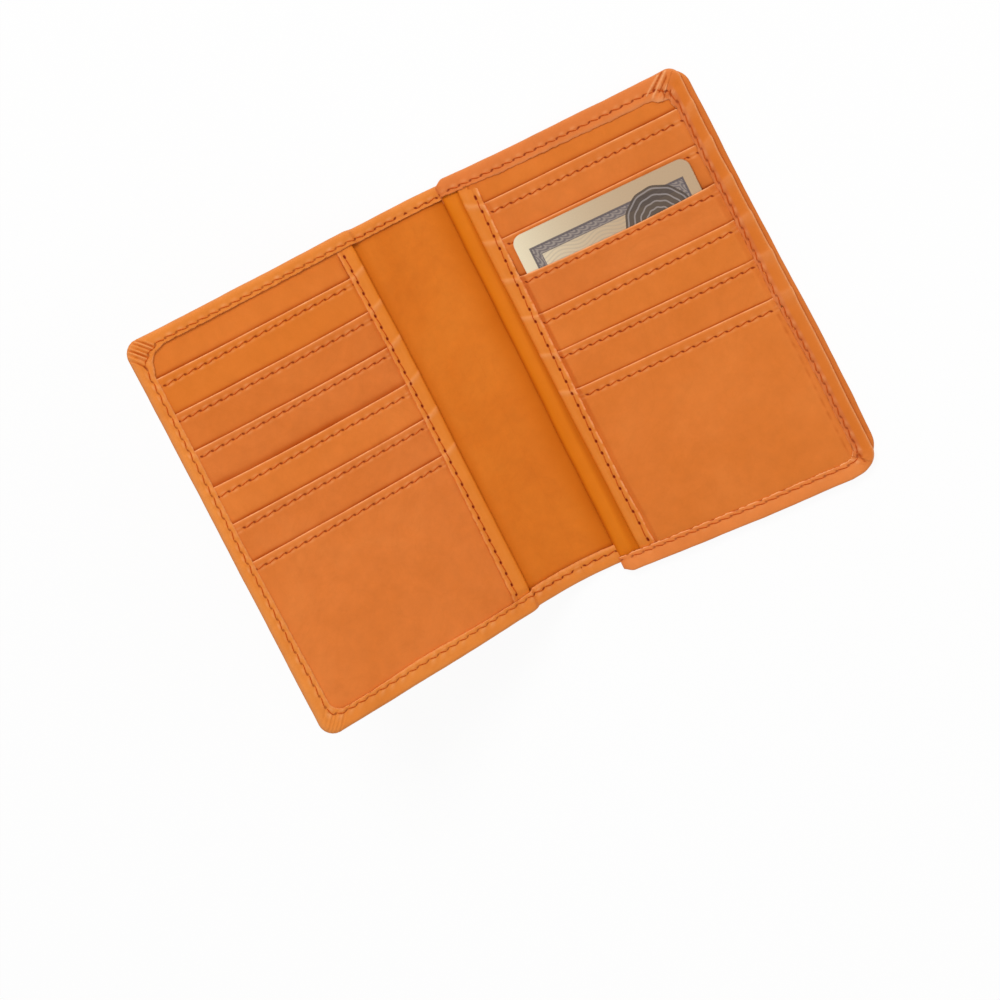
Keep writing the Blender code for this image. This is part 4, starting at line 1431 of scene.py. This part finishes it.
studio = {
    "cameraPlace": (212.98, 89.77, 796.23),
    "cameraRight": (0.86568, -0.44388, -0.23146),
    "cameraUp": (0.38386, 0.88537, -0.26225),
    "lens": 108.94,
    "sensor": 36.0,
    "sky": 0.52,
    "skyColour": (1.0, 0.985, 0.96),
    "lit": (-0.04, 0, 0.02),  # metres; what the lamps aim at
    # each lamp's name, direction, distance, size and power
    "lamps": (("key", (0.14, 0.55, 0.83), 1.1, 0.40, 6.2), ("side", (0.80, -0.15, 0.62), 1.2, 0.60, 1.6)),
    "floorHalf": 6.0,  # metres
    "floorColour": (0.9, 0.9, 0.9),
    "floorShare": 0.93,  # how much of the floor the camera sees as plain white
}


# Rays that see the backdrop as plain white.
def seenPlainly(tree):
    ray = addNode(tree, "ShaderNodeLightPath")
    camera, glossy, through = (
        Field(tree, ray.outputs[kind]) for kind in ("Is Camera Ray", "Is Glossy Ray", "Is Transmission Ray")
    )
    return (camera + glossy + through).clamped()


# Mixes two shaders by who sees them and joins them to a new output node.
def mixShaders(tree, share, first, second, outputKind):
    mix = field(tree, "ShaderNodeMixShader", 0, {"Fac": share, 1: first, 2: second})
    addNode(tree, outputKind, {"Surface": mix})


def makeFloor():
    half = studio["floorHalf"]
    mesh = bpy.data.meshes.new("floor")
    corners = [(-half, -half, 0), (half, -half, 0), (half, half, 0), (-half, half, 0)]
    mesh.from_pydata(corners, [], [(0, 1, 2, 3)])
    floor = addObject("floor", mesh)
    floor.location.z = -0.0001
    material = bpy.data.materials.new("paleFloor")
    material.use_nodes = True
    tree = material.node_tree
    tree.nodes.clear()
    matt = field(tree, "ShaderNodeBsdfDiffuse", 0, {"Color": studio["floorColour"]})
    glow = field(tree, "ShaderNodeEmission", 0, {"Color": (1, 1, 1), "Strength": 1.0})
    mixShaders(tree, seenPlainly(tree) * studio["floorShare"], matt, glow, "ShaderNodeOutputMaterial")
    mesh.materials.append(material)


def makeLights():
    world = bpy.data.worlds.new("studio")
    world.use_nodes = True
    tree = world.node_tree
    tree.nodes.clear()
    soft = field(tree, "ShaderNodeBackground", 0, {"Color": studio["skyColour"], "Strength": studio["sky"]})
    plain = field(tree, "ShaderNodeBackground", 0, {"Color": (1, 1, 1), "Strength": 1.0})
    mixShaders(tree, seenPlainly(tree), soft, plain, "ShaderNodeOutputWorld")
    bpy.context.scene.world = world
    for name, direction, far, size, power in studio["lamps"]:
        data = bpy.data.lights.new(name, "AREA")
        data.size, data.energy = size, power
        lamp = addObject(name, data)
        lamp.location = Vector(direction).normalized() * far + Vector(studio["lit"])
        lamp.rotation_euler = Vector(direction).to_track_quat("Z", "Y").to_euler()


def makeCamera():
    right, up = Vector(studio["cameraRight"]).normalized(), Vector(studio["cameraUp"]).normalized()
    back = right.cross(up).normalized()
    up = back.cross(right)
    data = bpy.data.cameras.new("camera")
    data.lens, data.sensor_width, data.clip_start = studio["lens"], studio["sensor"], 0.01
    camera = addObject("camera", data)
    turn = Matrix((right, up, back)).transposed().to_4x4()
    camera.matrix_world = Matrix.Translation(Vector(studio["cameraPlace"]) * mm) @ turn
    bpy.context.scene.camera = camera
    bpy.context.scene.view_settings.view_transform = "Standard"


makeFloor()
makeLights()
makeCamera()
print("studio: made")
